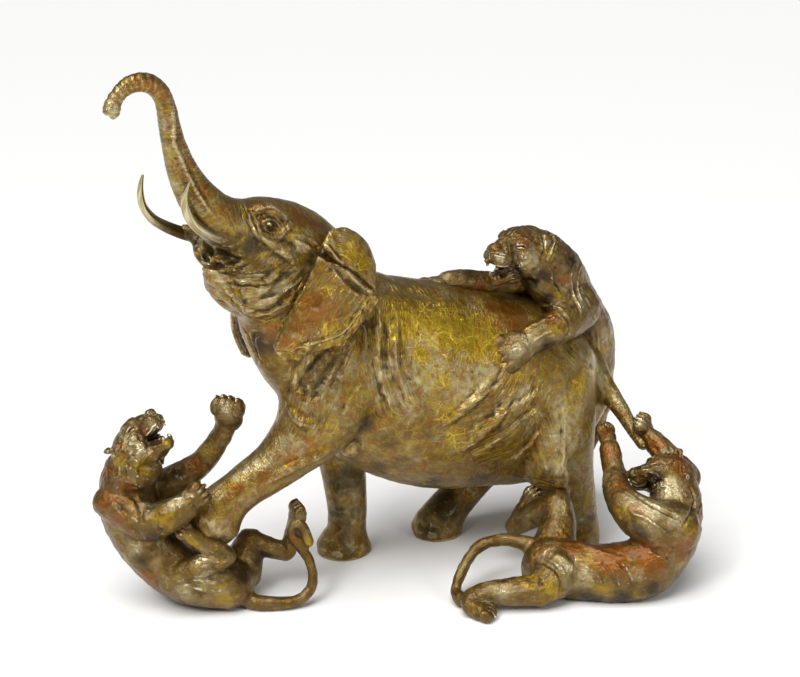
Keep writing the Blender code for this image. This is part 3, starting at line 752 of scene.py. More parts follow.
# The rolls of clay laid on for the larger folds, as (right, up, share of full thickness) seen from
# in front of the shoulder. Each is 6.5 mm thick and sunk 2.5 mm into the hide.
ROLL_THICKNESS, ROLL_SUNK = 6.5, 2.5
HIDE_FOLDS = [
    [(-20, 42, 0.3), (-22, 18, 1), (-25, -12, 1), (-16, -62, 0.3)],
    [(-2, 30, 0.3), (-7, 4, 1), (-8, -20, 1), (4, -52, 0.3)],
    [(-48, 6, 0.4), (-66, -10, 1), (-84, -34, 1), (-96, -62, 0.3)],
    [(-72, 10, 0.3), (-92, -8, 1), (-106, -24, 0.9), (-114, -44, 0.3)],
    [(-186, 50, 0.5), (-160, 44, 1), (-134, 52, 1), (-116, 76, 0.4)],
    [(-178, 38, 0.4), (-154, 32, 1), (-128, 38, 1), (-112, 56, 0.4)],
    [(-142, 104, 0.4), (-125, 92, 1), (-108, 84, 1), (-99, 68, 0.4)],
    [(-110, 104, 0.4), (-98, 92, 1), (-84, 84, 0.5)],
    [(-108, -30, 0.4), (-100, -58, 1), (-84, -66, 0.9), (-74, -52, 0.4)],
    [(-116, -60, 0.4), (-104, -80, 1), (-84, -86, 0.9), (-66, -70, 0.4)],
    [(104, -22, 0.4), (84, -50, 1), (60, -74, 1), (36, -92, 0.4)],
    [(118, -44, 0.4), (100, -76, 1), (72, -104, 0.9), (48, -118, 0.3)],
    [(164, -100, 0.4), (160, -134, 1), (166, -166, 1), (172, -188, 0.4)],
    [(-56, -104, 0.4), (-84, -118, 1), (-114, -132, 1), (-140, -148, 0.5)],
]
BODY_MIRROR = ((0, 2, 0), BODY_SIDE)
HEAD_MIRROR = ((0, 45, 0), HEAD_SIDE)

clay = bmesh.new()
for side, stations in ELEPHANT_LIMBS.values():
    limb(clay, stations, side)
mass = skin(clay, MASS_VOXEL, MASS_PASSES)
trim = bmesh.new()
elephant_trim(trim)
elephant_spines = sweeps[:]
trim.from_mesh(mass)
under_rolls = BVHTree.FromBMesh(trim)
rolls = bmesh.new()
for line in HIDE_FOLDS:
    drape(rolls, under_rolls, line, ROLL_THICKNESS, ROLL_SUNK)
for toe_middle, forward, radius in (
    ((-184, -94, 84), (-0.94, -0.34), 24), ((-58, 18, 8), (-0.92, -0.39), 29),
    ((184, 31, 9), (-0.92, -0.39), 28), ((40, 60, 9), (-0.92, -0.39), 27),
):
    toenails(rolls, toe_middle, forward, radius)
roll_mesh = bpy.data.meshes.new("rolls")
rolls.to_mesh(roll_mesh)
rolls.free()
trim.from_mesh(roll_mesh)
hide = Surface(skin(trim, HIDE_VOXEL, 8))

# The mouth is cut in one deep sweep between the lips, and the two nostrils are pressed in.
MOUTH = (
    (184, 232, 10, 1), (192, 242, 12, 1), (204, 248, 12, 1), (216, 252, 12, 1), (228, 255, 11, 1),
    (238, 258, 9, 1),
)
hide.smooth(MOUTH, 25)
hide.draw([(203, 258), (211, 256), (220, 256), (230, 258), (241, 262)], 5.5, 4.0)
for x, y, radius, depth in ((211, 291, 8, 4), (222, 304, 9, 3.5), (236, 314, 9, 2.5)):
    hide.poke(hide.under(x, y)[0] / MM, radius, depth)
hide.settle()
LIPS = ((184, 232, 9, 1), (194, 243, 11, 1), (206, 249, 10, 1), (218, 253, 9, 1), (230, 256, 8, 1))
hide.smooth(LIPS, 18)
for nostril in ((-244, -206, 515), (-247, -202, 516)):
    hide.poke(nostril, 3.2, 5, (0.1, 0.1, 1))

# Broad folds, each a lip of hide over a hollow.
for line, width, depth in (
    ([(372, 303), (376, 325), (377, 350), (380, 380), (389, 407)], 3.8, 1.2),
    ([(392, 303), (396, 325), (394, 350), (397, 375), (406, 395), (414, 408)], 4.1, 1.4),
    ([(384, 312), (388, 332), (387, 352), (389, 374)], 2.8, 0.8),
    ([(399, 356), (404, 370), (413, 379), (421, 384)], 3.3, 0.9),
    ([(380, 384), (384, 397), (391, 410), (398, 418)], 2.6, 0.7),
    ([(395, 390), (400, 402), (408, 412), (417, 419)], 2.6, 0.7),
    ([(345, 342), (336, 360), (324, 382), (313, 400)], 3.8, 1.2),
    ([(328, 347), (316, 362), (305, 378), (297, 396)], 3.3, 1.0),
    ([(360, 325), (352, 345), (340, 370), (330, 392)], 3.3, 0.9),
    ([(368, 352), (362, 376), (350, 398), (340, 416)], 3.3, 0.9),
    ([(296, 362), (292, 384), (286, 404), (276, 424)], 3.2, 0.7),
    ([(509, 352), (500, 376), (486, 392), (466, 404)], 4.6, 1.4),
    ([(540, 384), (524, 399), (504, 411), (484, 421), (464, 433)], 4.1, 1.4),
    ([(544, 400), (524, 416), (503, 433), (486, 445), (470, 454)], 3.8, 1.2),
    ([(548, 420), (534, 438), (520, 452), (506, 462)], 3.3, 0.9),
    ([(561, 404), (563, 436), (562, 466), (565, 498), (567, 530)], 3.6, 1.2),
    ([(588, 370), (600, 388), (604, 410), (603, 440), (600, 470)], 3.3, 0.9),
):
    hide.draw(line, width, depth, "flap", BODY_MIRROR)
hide.settle()
hide.smooth(((312, 412, 13, 1), (326, 418, 10, 1), (300, 400, 9, 0.8)), 25, BODY_MIRROR)
EAR_EDGE = (
    (316, 268, 6, 1), (308, 282, 6, 1), (301, 296, 6, 1), (294, 310, 5, 0.9), (288, 324, 5, 0.8),
)
EAR_FOLD = ((330, 262, 7, 1), (342, 270, 7, 1), (352, 279, 7, 1), (362, 288, 6, 1))
hide.smooth(EAR_EDGE + EAR_FOLD, 14, HEAD_MIRROR)
for line, width, depth in (
    ([(293, 272), (284, 280), (270, 285), (254, 287), (238, 286), (220, 282)], 3.1, 1.6),
    (
        [(295, 288), (288, 298), (279, 306), (265, 312), (251, 309), (240, 300), (231, 291)], 3.4,
        1.7,
    ),
    (
        [(212, 285), (225, 293), (236, 301), (244, 311), (256, 317), (270, 318), (284, 311)], 3.1,
        1.4,
    ),
    ([(292, 281), (283, 291), (270, 298), (257, 300)], 2.4, 1.2),
    ([(246, 212), (250, 224), (255, 235), (260, 246), (265, 252)], 2.0, 1.2),
    ([(251, 213), (256, 225), (261, 237), (266, 245)], 1.6, 0.9),
):
    hide.draw(line, width, depth, "flap", HEAD_MIRROR)
for line, width, depth in (
    (
        [(248, 217), (258, 210), (268, 207), (277, 209), (285, 217), (289, 230), (289, 242)], 1.9,
        0.9,
    ),
    ([(249, 220), (254, 230), (260, 238), (268, 246)], 1.6, 0.7),
    ([(255, 216), (262, 212), (272, 212), (280, 217)], 1.4, 0.6),
    ([(276, 247), (285, 254), (293, 264), (302, 274)], 5.2, 2.6),
    ([(204, 268), (212, 272), (222, 271), (233, 267), (246, 261)], 2.4, 1.6),
    ([(290, 234), (301, 236), (312, 241), (320, 247)], 2.6, 1.2),
    ([(294, 242), (304, 244), (312, 249)], 2.0, 1.0),
):
    hide.draw(line, width, depth, "ridge", HEAD_MIRROR)
hide.settle()
for line, width, depth in (
    ([(322, 250), (332, 262), (343, 276), (355, 288), (368, 297)], 3.2, 1.8),
    ([(299, 296), (290, 312), (283, 328), (277, 343)], 2.2, 1.2),
    ([(236, 320), (246, 332), (252, 346), (259, 359), (272, 372)], 2.6, 1.4),
):
    hide.draw(line, width, depth, "crease", HEAD_MIRROR)
TRUNK_RIDGE = [
    (168, 96), (172, 110), (173, 126), (174, 142), (180, 157), (186, 171), (195, 189), (206, 206),
    (217, 220),
]
hide.draw(TRUNK_RIDGE, 2.8, 2.3, "ridge")
for line, width, depth in (
    ([(323, 243), (333, 254), (343, 266), (354, 279), (364, 288), (373, 293)], 2.2, 1.8),
    (
        [
            (279, 352), (300, 347), (320, 341), (338, 335), (350, 325), (358, 314), (366, 302),
            (372, 294),
        ],
        2.0, 1.3,
    ),
    ([(300, 294), (290, 312), (281, 335), (276, 350)], 1.7, 0.9),
):
    hide.draw(line, width, depth, "ridge", HEAD_MIRROR)
hide.settle()
# The eye is a small ball between two lids, pressed into its socket.
for side in (None, HEAD_MIRROR):
    hide.poke(hide.under(272, 227, side)[0] / MM, 8, 1.0)
hide.settle()
for side in (None, HEAD_MIRROR):
    hide.poke(hide.under(271, 225, side)[0] / MM, 2.8, -1.3)
hide.settle()
for line, width, depth in (
    ([(263, 223), (267, 219.5), (272, 219.5), (277, 223), (282, 229)], 1.3, 1.0),
    ([(265, 229), (270, 231.5), (276, 232)], 1.2, 0.6),
    ([(262, 217), (269, 214), (276, 217), (282, 224)], 1.2, 0.6),
):
    hide.draw(line, width, depth, "ridge", HEAD_MIRROR)
hide.settle()
for line, width, depth in (
    ([(265, 224), (269, 221), (274, 222), (279, 228)], 1.2, 1.0),
    ([(262, 234), (269, 238), (277, 240)], 1.6, 0.8),
):
    hide.draw(line, width, depth, "crease", HEAD_MIRROR)
hide.settle()

# The ragged rim of the ear, pressed between finger and thumb.
ear_heart = hide.under(322, 305)[0]
EAR_RIM = [
    (279, 354), (300, 350), (320, 345), (338, 339), (350, 329), (358, 318), (366, 306), (374, 295),
]
for k, (x, y) in enumerate(smooth_line(EAR_RIM, 3)):
    rim = hide.under(x, y)[0]
    if rim and k % 2:
        hide.poke(rim / MM, 2.6, 1.7, ear_heart - rim)
    elif rim:
        hide.poke(rim / MM, 2.4, 1.5, -look)
hide.settle()

# The rings of the trunk and the tail, and the rough, tooled ground of the whole hide.
TRUNK = list(ELEPHANT_LIMBS).index("head and trunk")
TAIL = len(ELEPHANT_LIMBS) + TRIM_LIMBS_BEFORE_TAIL
flow, spine_of = hide.flow(elephant_spines)


def rings(along, spacing, at, seed):
    """Grooves round a limb, this far apart, that waver a little."""
    wavering = along + clay_noise(at, 14 * MM, seed) * spacing * 0.5
    return 1 - np.abs(np.sin(wavering / spacing * math.pi)) ** 0.6


NEAR_EAR = (
    (300, 335, 16, 1), (316, 310, 20, 1), (340, 318, 18, 1), (352, 300, 16, 1), (352, 250, 16, 1),
)
on_ear = hide.wash(NEAR_EAR, HEAD_MIRROR)
waves = clay_noise(hide.at, 16 * MM, 41) * 1.6 + clay_noise(hide.at, 7 * MM, 42) * 0.8
hide.raise_by(waves * on_ear * MM)
along = flow[:, 0]
on_trunk = (spine_of == TRUNK) * np.clip((along - 0.145) / 0.05, 0, 1)
ring_depth = 0.3 + 0.7 * np.clip((along - 0.30) / 0.05, 0, 1)
hide.raise_by(-rings(along, 5.2 * MM, hide.at, 3) * on_trunk * ring_depth * MM)
on_tail = (spine_of == TAIL) * 1.0
hide.raise_by(-rings(along, 4.2 * MM, hide.at, 5) * on_tail * 0.5 * MM)
across_folds = clay_noise(flow * (1 / 3.4, 1 / 13, 1 / 13), MM, 11) * 0.1
lumps = clay_noise(hide.at, 9 * MM, 21) * 0.35 + clay_noise(hide.at, 4.5 * MM, 22) * 0.22
dabs = 1 - 2 * np.abs(clay_noise(hide.at * (
    1, 1, 0.6,
), 7 * MM, 24)) + clay_noise(hide.at, 14 * MM, 25)
pits = -np.abs(clay_noise(hide.at, 3.2 * MM, 23)) * 0.22
ROUGHEST = (
    (548, 440, 26, 1), (530, 470, 24, 1), (545, 510, 24, 1), (540, 400, 24, 0.8),
    (500, 425, 22, 0.7), (580, 500, 24, 0.8), (320, 400, 26, 0.7), (300, 430, 20, 0.5),
    (206, 500, 20, 0.6), (338, 520, 22, 0.6), (430, 520, 24, 0.6), (345, 250, 18, 0.7),
    (300, 240, 14, 0.8), (330, 480, 20, 0.5), (570, 560, 24, 0.6), (205, 530, 18, 0.6),
)
rough = hide.wash(ROUGHEST, BODY_MIRROR)
hide.raise_by(((across_folds + lumps + pits) * 0.8 + dabs * rough * 0.75) * MM)
hide.at[:, 2] = np.maximum(hide.at[:, 2], 0)
hide.settle()
# The head keeps the finest mesh.
HEAD_LOW, HEAD_BACK = 0.235, -0.015
on_head = np.clip((hide.at[:, 2] - HEAD_LOW) / 0.02, 0, 1)
on_head = on_head * np.clip((HEAD_BACK - hide.at[:, 0]) / 0.03, 0, 1)
hide = Surface(thinned(hide.mesh, MOST_TRIANGLES, 1 - on_head))
flow, spine_of = hide.flow(elephant_spines)

# The lie of the fine folds between the broad ones.
BODY_FOLDS = (
    (
        [(366, 304), (366, 330), (368, 356), (372, 384), (382, 412)],
        [(406, 304), (410, 330), (408, 352), (414, 372), (428, 392)], 1,
    ),
    ([(322, 348), (308, 370), (296, 394)], [(366, 312), (354, 350), (336, 386)], 1),
    ([(298, 358), (292, 384), (276, 424)], [(344, 356), (336, 390), (318, 436)], 1),
    (
        [(514, 350), (500, 380), (484, 398), (456, 410)],
        [(556, 404), (532, 430), (506, 450), (480, 462)], 1,
    ),
    ([(520, 420), (528, 446), (536, 474)], [(558, 410), (560, 442), (562, 474)], 1),
    ([(516, 474), (536, 480), (560, 486)], [(518, 522), (540, 528), (564, 532)], 0.8),
    (
        [(346, 440), (372, 464), (400, 478), (440, 486)],
        [(376, 416), (404, 438), (444, 450), (484, 454)], 0.5,
    ),
    ([(378, 270), (388, 290), (398, 302)], [(418, 282), (428, 296), (440, 306)], 0.8),
    ([(430, 302), (470, 302), (510, 308)], [(430, 284), (470, 286), (504, 292)], 0.4),
    ([(566, 350), (584, 372), (600, 396)], [(592, 352), (606, 366), (620, 384)], 0.6),
)
HEAD_FOLDS = (
    (
        [(292, 258), (280, 268), (266, 274), (240, 276)],
        [(302, 288), (292, 304), (276, 315), (248, 314)], 1,
    ),
    ([(254, 286), (264, 288), (276, 284)], [(212, 284), (226, 296), (242, 310)], 0.8),
    ([(250, 214), (256, 230), (268, 246)], [(262, 214), (266, 230), (280, 244)], 1),
    ([(264, 212), (276, 214), (286, 228)], [(264, 240), (276, 242), (288, 244)], 0.8),
    ([(222, 199), (227, 210), (232, 224)], [(266, 200), (266, 204), (268, 208)], 0.8),
    ([(264, 254), (254, 266), (242, 272)], [(290, 250), (300, 262), (300, 276)], 0.9),
    ([(160, 108), (166, 109), (174, 108)], [(198, 214), (206, 210), (214, 204)], 0.9),
    ([(286, 214), (300, 222), (316, 236)], [(300, 206), (318, 218), (330, 234)], 0.6),
    ([(320, 262), (300, 290), (282, 330)], [(366, 296), (340, 320), (304, 346)], 0.7),
    ([(338, 236), (352, 240), (366, 256)], [(340, 258), (350, 268), (366, 282)], 0.6),
)
body_lie, body_folded = lie_of_folds(hide, BODY_FOLDS, BODY_MIRROR)
lie, folded = lie_of_folds(hide, HEAD_FOLDS, HEAD_MIRROR, len(BODY_FOLDS))
on_body = (hide.at[:, 2] < 0.25) | (hide.at[:, 0] > -0.02) | (body_folded > folded)
lie[on_body], folded[on_body] = body_lie[on_body], body_folded[on_body]

RUST = (
    (313, 308, 20, 1), (300, 325, 14, 0.8), (330, 318, 12, 0.7), (462, 292, 8, 0.9),
    (512, 316, 19, 1.3), (530, 330, 12, 1.1), (494, 308, 10, 0.9), (150, 84, 14, 1),
    (164, 92, 10, 0.8), (184, 140, 9, 0.7), (190, 162, 9, 0.8), (204, 190, 10, 0.8),
    (222, 212, 12, 0.6), (300, 218, 16, 0.9), (318, 226, 12, 0.8), (266, 209, 9, 0.6),
    (270, 336, 20, 0.7), (290, 345, 16, 0.7), (418, 394, 16, 0.35), (599, 455, 11, 0.8),
    (596, 480, 9, 0.6), (310, 452, 10, 0.6), (270, 480, 9, 0.5), (240, 500, 9, 0.5),
    (300, 400, 14, 0.4), (244, 330, 9, 0.4), (290, 458, 12, 0.9), (262, 476, 11, 0.9),
    (236, 490, 10, 0.8), (312, 440, 10, 0.7), (270, 432, 8, 0.8), (246, 452, 8, 0.8),
    (222, 470, 8, 0.8), (120, 80, 12, 0.9), (136, 74, 10, 0.8), (252, 204, 12, 0.8),
    (345, 262, 8, 0.6), (400, 284, 8, 0.4), (338, 545, 14, 0.4),
)
YELLOW = (
    (405, 322, 26, 1), (440, 330, 28, 1), (474, 338, 26, 1), (420, 352, 18, 0.7),
    (300, 350, 12, 0.9), (330, 344, 12, 0.9), (352, 322, 12, 0.7), (368, 300, 10, 0.7),
    (352, 250, 13, 0.9), (362, 262, 10, 0.8), (326, 290, 10, 0.5), (500, 350, 18, 0.7),
    (520, 372, 12, 0.5), (292, 232, 12, 0.6), (258, 250, 12, 0.4), (382, 340, 12, 0.5),
    (360, 400, 16, 0.4), (330, 430, 16, 0.4), (560, 500, 16, 0.4), (240, 335, 9, 0.4),
    (440, 382, 20, 0.55), (450, 410, 20, 0.6), (455, 438, 20, 0.6), (580, 384, 13, 0.7),
    (572, 402, 14, 0.6), (590, 430, 14, 0.5), (305, 210, 14, 0.5), (240, 246, 9, 0.9),
    (300, 262, 8, 0.8), (330, 330, 12, 0.8),
)
# Painted sheen, mostly soft reflections of the lamps on the flank, thigh, rump and top of the
# foreleg, at (x, y, reach in mm, strength).
PAINTED_SHEEN = (
    (430, 376, 22, 0.9), (460, 384, 22, 0.9), (484, 376, 16, 0.8), (568, 410, 18, 1.4),
    (566, 440, 18, 1.4), (562, 466, 16, 1.2), (584, 356, 14, 0.9), (602, 372, 11, 0.9),
    (618, 394, 10, 0.8), (286, 444, 10, 1.4), (262, 458, 10, 1.4), (238, 471, 10, 1.4),
    (216, 484, 10, 1.2), (166, 120, 9, 0.45), (168, 150, 9, 0.4), (176, 182, 9, 0.35),
    (196, 208, 9, 0.3), (300, 242, 14, 0.7), (592, 362, 18, 1), (115, 112, 9, 0.7),
    (262, 292, 16, 0.7), (282, 286, 12, 0.6), (244, 278, 9, 0.8), (222, 279, 8, 0.7),
    (382, 372, 14, 0.6), (394, 398, 12, 0.6), (410, 404, 12, 0.6), (340, 372, 12, 0.5),
    (320, 392, 12, 0.5), (338, 490, 14, 0.5), (342, 520, 14, 0.5), (580, 520, 16, 0.5),
    (570, 560, 14, 0.5), (206, 500, 12, 0.5), (212, 530, 12, 0.5), (430, 520, 12, 0.4),
    (252, 228, 9, 0.5), (520, 400, 14, 0.7), (536, 420, 12, 0.6), (640, 424, 10, 0.7),
)
# Painted shade where shade falls: in the mouth and eye, under the ear, on the throat and belly,
# between the legs, and in a few spots on the back.
PAINTED_SHADE = (
    (210, 240, 16, 1), (232, 244, 12, 0.8), (262, 345, 18, 0.9), (300, 352, 14, 0.6),
    (364, 424, 15, 0.9), (430, 482, 26, 0.7), (480, 480, 22, 0.7), (380, 468, 18, 0.6),
    (322, 254, 7, 1), (330, 268, 6, 0.7), (270, 226, 6, 0.6), (530, 500, 16, 0.6),
    (504, 300, 14, 0.4), (390, 440, 16, 0.5), (250, 432, 14, 0.6), (470, 510, 14, 0.6),
    (350, 470, 12, 0.5), (160, 75, 6, 0.4), (546, 350, 14, 0.4), (345, 480, 24, 0.9),
    (340, 515, 24, 0.8), (345, 545, 20, 0.7), (445, 505, 26, 1), (430, 530, 20, 0.9),
    (590, 520, 18, 0.7), (584, 470, 10, 0.5), (570, 545, 20, 0.5), (205, 255, 10, 1),
    (196, 243, 10, 1), (186, 238, 8, 0.9), (220, 250, 10, 1.2), (238, 238, 8, 0.8),
    (232, 262, 8, 0.6), (400, 465, 20, 0.5), (190, 236, 14, 1.0), (208, 250, 12, 1.0),
    (226, 254, 10, 1.0), (236, 248, 9, 0.8), (250, 246, 15, 1.0), (260, 262, 9, 0.6),
    (272, 226, 5, 0.6), (310, 262, 7, 0.7), (330, 352, 11, 0.5), (352, 336, 9, 0.5),
    (120, 84, 14, 0.5), (440, 290, 12, 0.3), (570, 350, 12, 0.5),
)

hide_marks = {
    "flow": flow,
    "lie": lie,
    "folded": folded,
    "fine_hollow": hide.hollowness(4),
    "broad_hollow": hide.hollowness(14),
    "rust": np.maximum(hide.wash(RUST, BODY_MIRROR), 0.26),
    "yellow": np.maximum(hide.wash(YELLOW, BODY_MIRROR), 0.20),
    "pale": hide.wash(PAINTED_SHEEN, BODY_MIRROR),
    "dark": hide.wash(PAINTED_SHADE, BODY_MIRROR),
}


def fed(tree, node, feeds):
    """The node, with its sockets fed by values or by other sockets."""
    for socket, feed in feeds.items():
        if isinstance(feed, bpy.types.NodeSocket):
            tree.links.new(feed, node.inputs[socket])
        else:
            node.inputs[socket].default_value = feed
    return node


def add(tree, kind, feeds=None, **settings):
    """A new node of this kind, with its settings made and its sockets fed."""
    node = tree.nodes.new("ShaderNode" + kind)
    for name, value in settings.items():
        setattr(node, name, value)
    return fed(tree, node, feeds or {})


def maths(tree, operation, *feeds):
    return add(tree, "Math", dict(enumerate(feeds)), operation=operation).outputs[0]


def eased(tree, value, low, high, to_low=0.0, to_high=1.0):
    """Goes smoothly from to_low to to_high while the value goes from low to high."""
    feeds = dict(enumerate((value, low, high, to_low, to_high)))
    return add(tree, "MapRange", feeds, interpolation_type="SMOOTHSTEP").outputs[0]


def blended(tree, share, first, second):
    first, second = [(*c, 1) if isinstance(c, tuple) else c for c in (first, second)]
    return add(tree, "Mix", {0: share, 6: first, 7: second}, data_type="RGBA").outputs[2]


def cloud(tree, place, size, detail=3.0, roughness=0.55, distortion=0.0):
    """Noise whose lumps are about this many mm across."""
    feeds = {"Vector": place, "Scale": 1 / (size * MM), "Detail": detail, "Roughness": roughness}
    return add(tree, "TexNoise", {**feeds, "Distortion": distortion}).outputs[0]


def streaky(tree, place, lengths, detail, roughness=0.55, distortion=0.0):
    """Noise whose lumps are about as long as these three lengths in mm."""
    steps = add(tree, "Mapping", {0: place, 3: [1 / (length * MM) for length in lengths]})
    return cloud(tree, steps.outputs[0], 1 / MM, detail, roughness, distortion)


def cell_edges(tree, place, scale):
    """The distance to the nearest edge of a net of cells."""
    feeds = {"Vector": place, "Scale": scale}
    return add(tree, "TexVoronoi", feeds, feature="DISTANCE_TO_EDGE").outputs[0]


def effect(name, inputs, outputs):
    """An empty node group with these sockets, given as (name, kind, value)."""
    group = bpy.data.node_groups.new(name, "ShaderNodeTree")
    for socket, kind, value in inputs:
        made = group.interface.new_socket(
            socket, in_out="INPUT", socket_type="NodeSocket" + kind
        )
        if value is not None:
            made.default_value = value
    for socket, kind in outputs:
        group.interface.new_socket(socket, in_out="OUTPUT", socket_type="NodeSocket" + kind)
    ends = group.nodes.new("NodeGroupInput"), group.nodes.new("NodeGroupOutput")
    return group, ends[0].outputs, ends[1]


# Rubbing bares the high edges of the relief, and the patina stays dark in its hollows.
rubbed_relief, given, made = effect(
    "rubbed relief",
    (
        ("Patina", "Color", None), ("Rubbed Metal", "Color", None), ("Deep Patina", "Color", None),
        ("Fine Hollow", "Float", 0.0), ("Broad Hollow", "Float", 0.0), ("Place", "Vector", None),
        ("Rub", "Float", 0.6), ("Reach", "Float", 0.2), ("Sheen Rub", "Float", 0.0),
        ("Grain", "Float", 0.5), ("Grain Share", "Float", 0.0),
    ),
    (("Color", "Color"), ("Rubbed", "Float"), ("Deep", "Float")),
)
tree = rubbed_relief
uneven = maths(tree, "ADD", cloud(tree, given["Place"], 9, 4), cloud(tree, given["Place"], 1.6, 2))
uneven = maths(tree, "MULTIPLY_ADD", uneven, 0.5, -0.5)
low = maths(tree, "MULTIPLY_ADD", given["Broad Hollow"], -0.17, given["Fine Hollow"])
high = maths(tree, "MULTIPLY_ADD", uneven, given["Reach"], maths(tree, "MULTIPLY", low, -1))
# Where the sheen mark lies, this input bares more metal: a painted highlight, and on the lionesses
# also rubbed wear.
share = maths(tree, "ADD", maths(tree, "DIVIDE", high, given["Reach"]), given["Sheen Rub"])
grainy = maths(tree, "SUBTRACT", given["Grain"], 0.5)
share = maths(tree, "ADD", share, maths(tree, "MULTIPLY", grainy, given["Grain Share"]))
rubbed = maths(tree, "MULTIPLY", eased(tree, share, 0.6, 2.2), given["Rub"])
pit = maths(tree, "MULTIPLY", maths(tree, "MAXIMUM", given["Broad Hollow"], 0.0), 0.9)
deep = eased(tree, maths(tree, "SUBTRACT", share, pit), -0.6, -3.0)
tone = blended(tree, maths(tree, "MULTIPLY", deep, 0.85), given["Patina"], given["Deep Patina"])
tone = blended(tree, rubbed, tone, given["Rubbed Metal"])
fed(tree, made, {"Color": tone, "Rubbed": rubbed, "Deep": deep})

# Acid and heat stain the bronze in clouds of one colour over another, under a net of bright veins.
# Where the sheen mark lies, the light clouds are a painted reflection, and the shading mark lays
# painted shade over all.
patina_and_painted_light, given, made = effect(
    "patina and painted light",
    (
        ("Place", "Vector", None), ("Ground", "Color", None), ("Cloud", "Color", None),
        ("Fleck", "Color", None), ("Yellow", "Color", None), ("Rust", "Color", None),
        ("Dark", "Color", None), ("Vein", "Color", None), ("Pale Stain", "Float", 0.0),
        ("Yellow Stain", "Float", 0.0), ("Rust Stain", "Float", 0.0), ("Dark Stain", "Float", 0.0),
        ("Veins", "Float", 0.0),
    ),
    (("Color", "Color"),),
)
tree = patina_and_painted_light
warp = add(tree, "TexNoise", {"Vector": given["Place"], "Scale": 45, "Detail": 3.0})
feeds = {0: warp.outputs["Color"], 1: (0.014, 0.014, 0.014), 2: given["Place"]}
bent = add(tree, "VectorMath", feeds, operation="MULTIPLY_ADD").outputs[0]


def clouded(under, colour, amount, weight, size, low, high, strength):
    """The tone under a cloud of stain or of painted shade or sheen, whose lumps are size mm across
    and which shows where its noise and this much of the brushed-on amount come to more than low,
    in full from high."""
    spread = maths(tree, "MULTIPLY_ADD", amount, weight, cloud(tree, bent, size, 4))
    share = maths(tree, "MULTIPLY", eased(tree, spread, low, high), strength)
    return blended(tree, share, under, colour)


tone = given["Ground"]
# Where the sheen mark is strong, the light cloud colour is a painted reflection; the flecks,
# yellow and rust are stains.
for colour, amount, *stain in (
    ("Cloud", "Pale Stain", 0.50, 20, 0.40, 0.92, 0.95),
    ("Fleck", "Pale Stain", 0.0, 6.5, 0.40, 0.72, 0.45),
    ("Dark", "Pale Stain", -0.10, 11, 0.50, 0.80, 0.75),
    ("Yellow", "Yellow Stain", 0.48, 8, 0.50, 0.88, 0.95),
    ("Rust", "Rust Stain", 0.46, 6, 0.52, 0.90, 0.85),
):
    tone = clouded(tone, given[colour], given[amount], *stain)
nets = []
for size, width, weight in ((17, 0.030, 0.9), (7.5, 0.045, 0.6)):
    line = eased(tree, cell_edges(tree, bent, 1 / (size * MM)), width, width * 0.2)
    nets.append(maths(tree, "MULTIPLY", line, weight))
broken = eased(tree, cloud(tree, given["Place"], 12, 3), 0.34, 0.60)
net = maths(tree, "MULTIPLY", maths(tree, "MAXIMUM", *nets), broken)
tone = blended(tree, maths(tree, "MULTIPLY", net, given["Veins"]), tone, given["Vein"])
# Painted shade: the shading mark darkens the tone where shade falls.
tone = clouded(tone, given["Dark"], given["Dark Stain"], 0.80, 15, 0.62, 1.25, 0.95)
fed(tree, made, {"Color": tone})


def mark(tree, name, vector=False):
    return add(tree, "Attribute", attribute_name=name).outputs["Vector" if vector else "Fac"]


def bronze(name, tones, rub, reach, veins, sheen_rub, grain_share):
    """A cast bronze finish, with stain colours, painted shade and painted sheen, rubbed but not
    yet grained, and what its grain needs. Rub is how bright the high edges are, reach how high in
    mm they start, veins how strong the net of veins is, and sheen_rub and grain_share how much the
    painted sheen and grain add to the rubbing."""
    material = bpy.data.materials.new(name)
    material.use_nodes = True
    tree = material.node_tree
    shader = tree.nodes["Principled BSDF"]
    place = add(tree, "TexCoord").outputs["Object"]
    colours = {colour: (*value, 1) for colour, value in tones.items()}
    metal = {colour: colours.pop(colour) for colour in ("Rubbed Metal", "Deep Patina")}
    marks = {name: mark(tree, name) for name in ("pale", "yellow", "rust", "dark")}
    patina = add(tree, "Group", {
        **colours, **{name.title() + " Stain": stain for name, stain in marks.items()},
        "Veins": eased(tree, marks["yellow"], 0.05, 0.5, 0.0, veins), "Place": place,
    }, node_tree=patina_and_painted_light)
    worn = add(tree, "Group", {
        **metal, "Patina": patina.outputs["Color"], "Place": place, "Reach": reach,
        "Fine Hollow": mark(tree, "fine_hollow"), "Broad Hollow": mark(tree, "broad_hollow"),
        # Painted shade keeps the edges there from shining, and the painted sheen bares bright
        # metal.
        "Rub": maths(tree, "MULTIPLY", eased(tree, marks["dark"], 0.3, 1.2, 1.0, 0.15), rub),
        "Sheen Rub": maths(tree, "MULTIPLY", marks["pale"], sheen_rub), "Grain Share": grain_share,
    }, node_tree=rubbed_relief)
    rubbed, deep = worn.outputs["Rubbed"], worn.outputs["Deep"]
    metallic = maths(tree, "MULTIPLY_ADD", rubbed, 0.16, 0.84)
    satin = eased(tree, cloud(tree, place, 7, 3), 0.3, 0.7, 0.28, 0.46)
    satin = maths(tree, "MULTIPLY_ADD", rubbed, -0.12, satin)
    fed(tree, shader, {
        "Base Color": worn.outputs["Color"], "Coat Weight": 0.25, "Coat Roughness": 0.12,
        "Metallic": maths(tree, "MULTIPLY_ADD", deep, -0.14, metallic),
        "Roughness": maths(tree, "MULTIPLY_ADD", deep, 0.2, satin),
    })
    return material, tree, shader, place, worn


def grained(tree, shader, height, strength, distance):
    bump = add(tree, "Bump", {"Strength": strength, "Distance": distance * MM, "Height": height})
    fed(tree, shader, {"Normal": bump.outputs[0]})


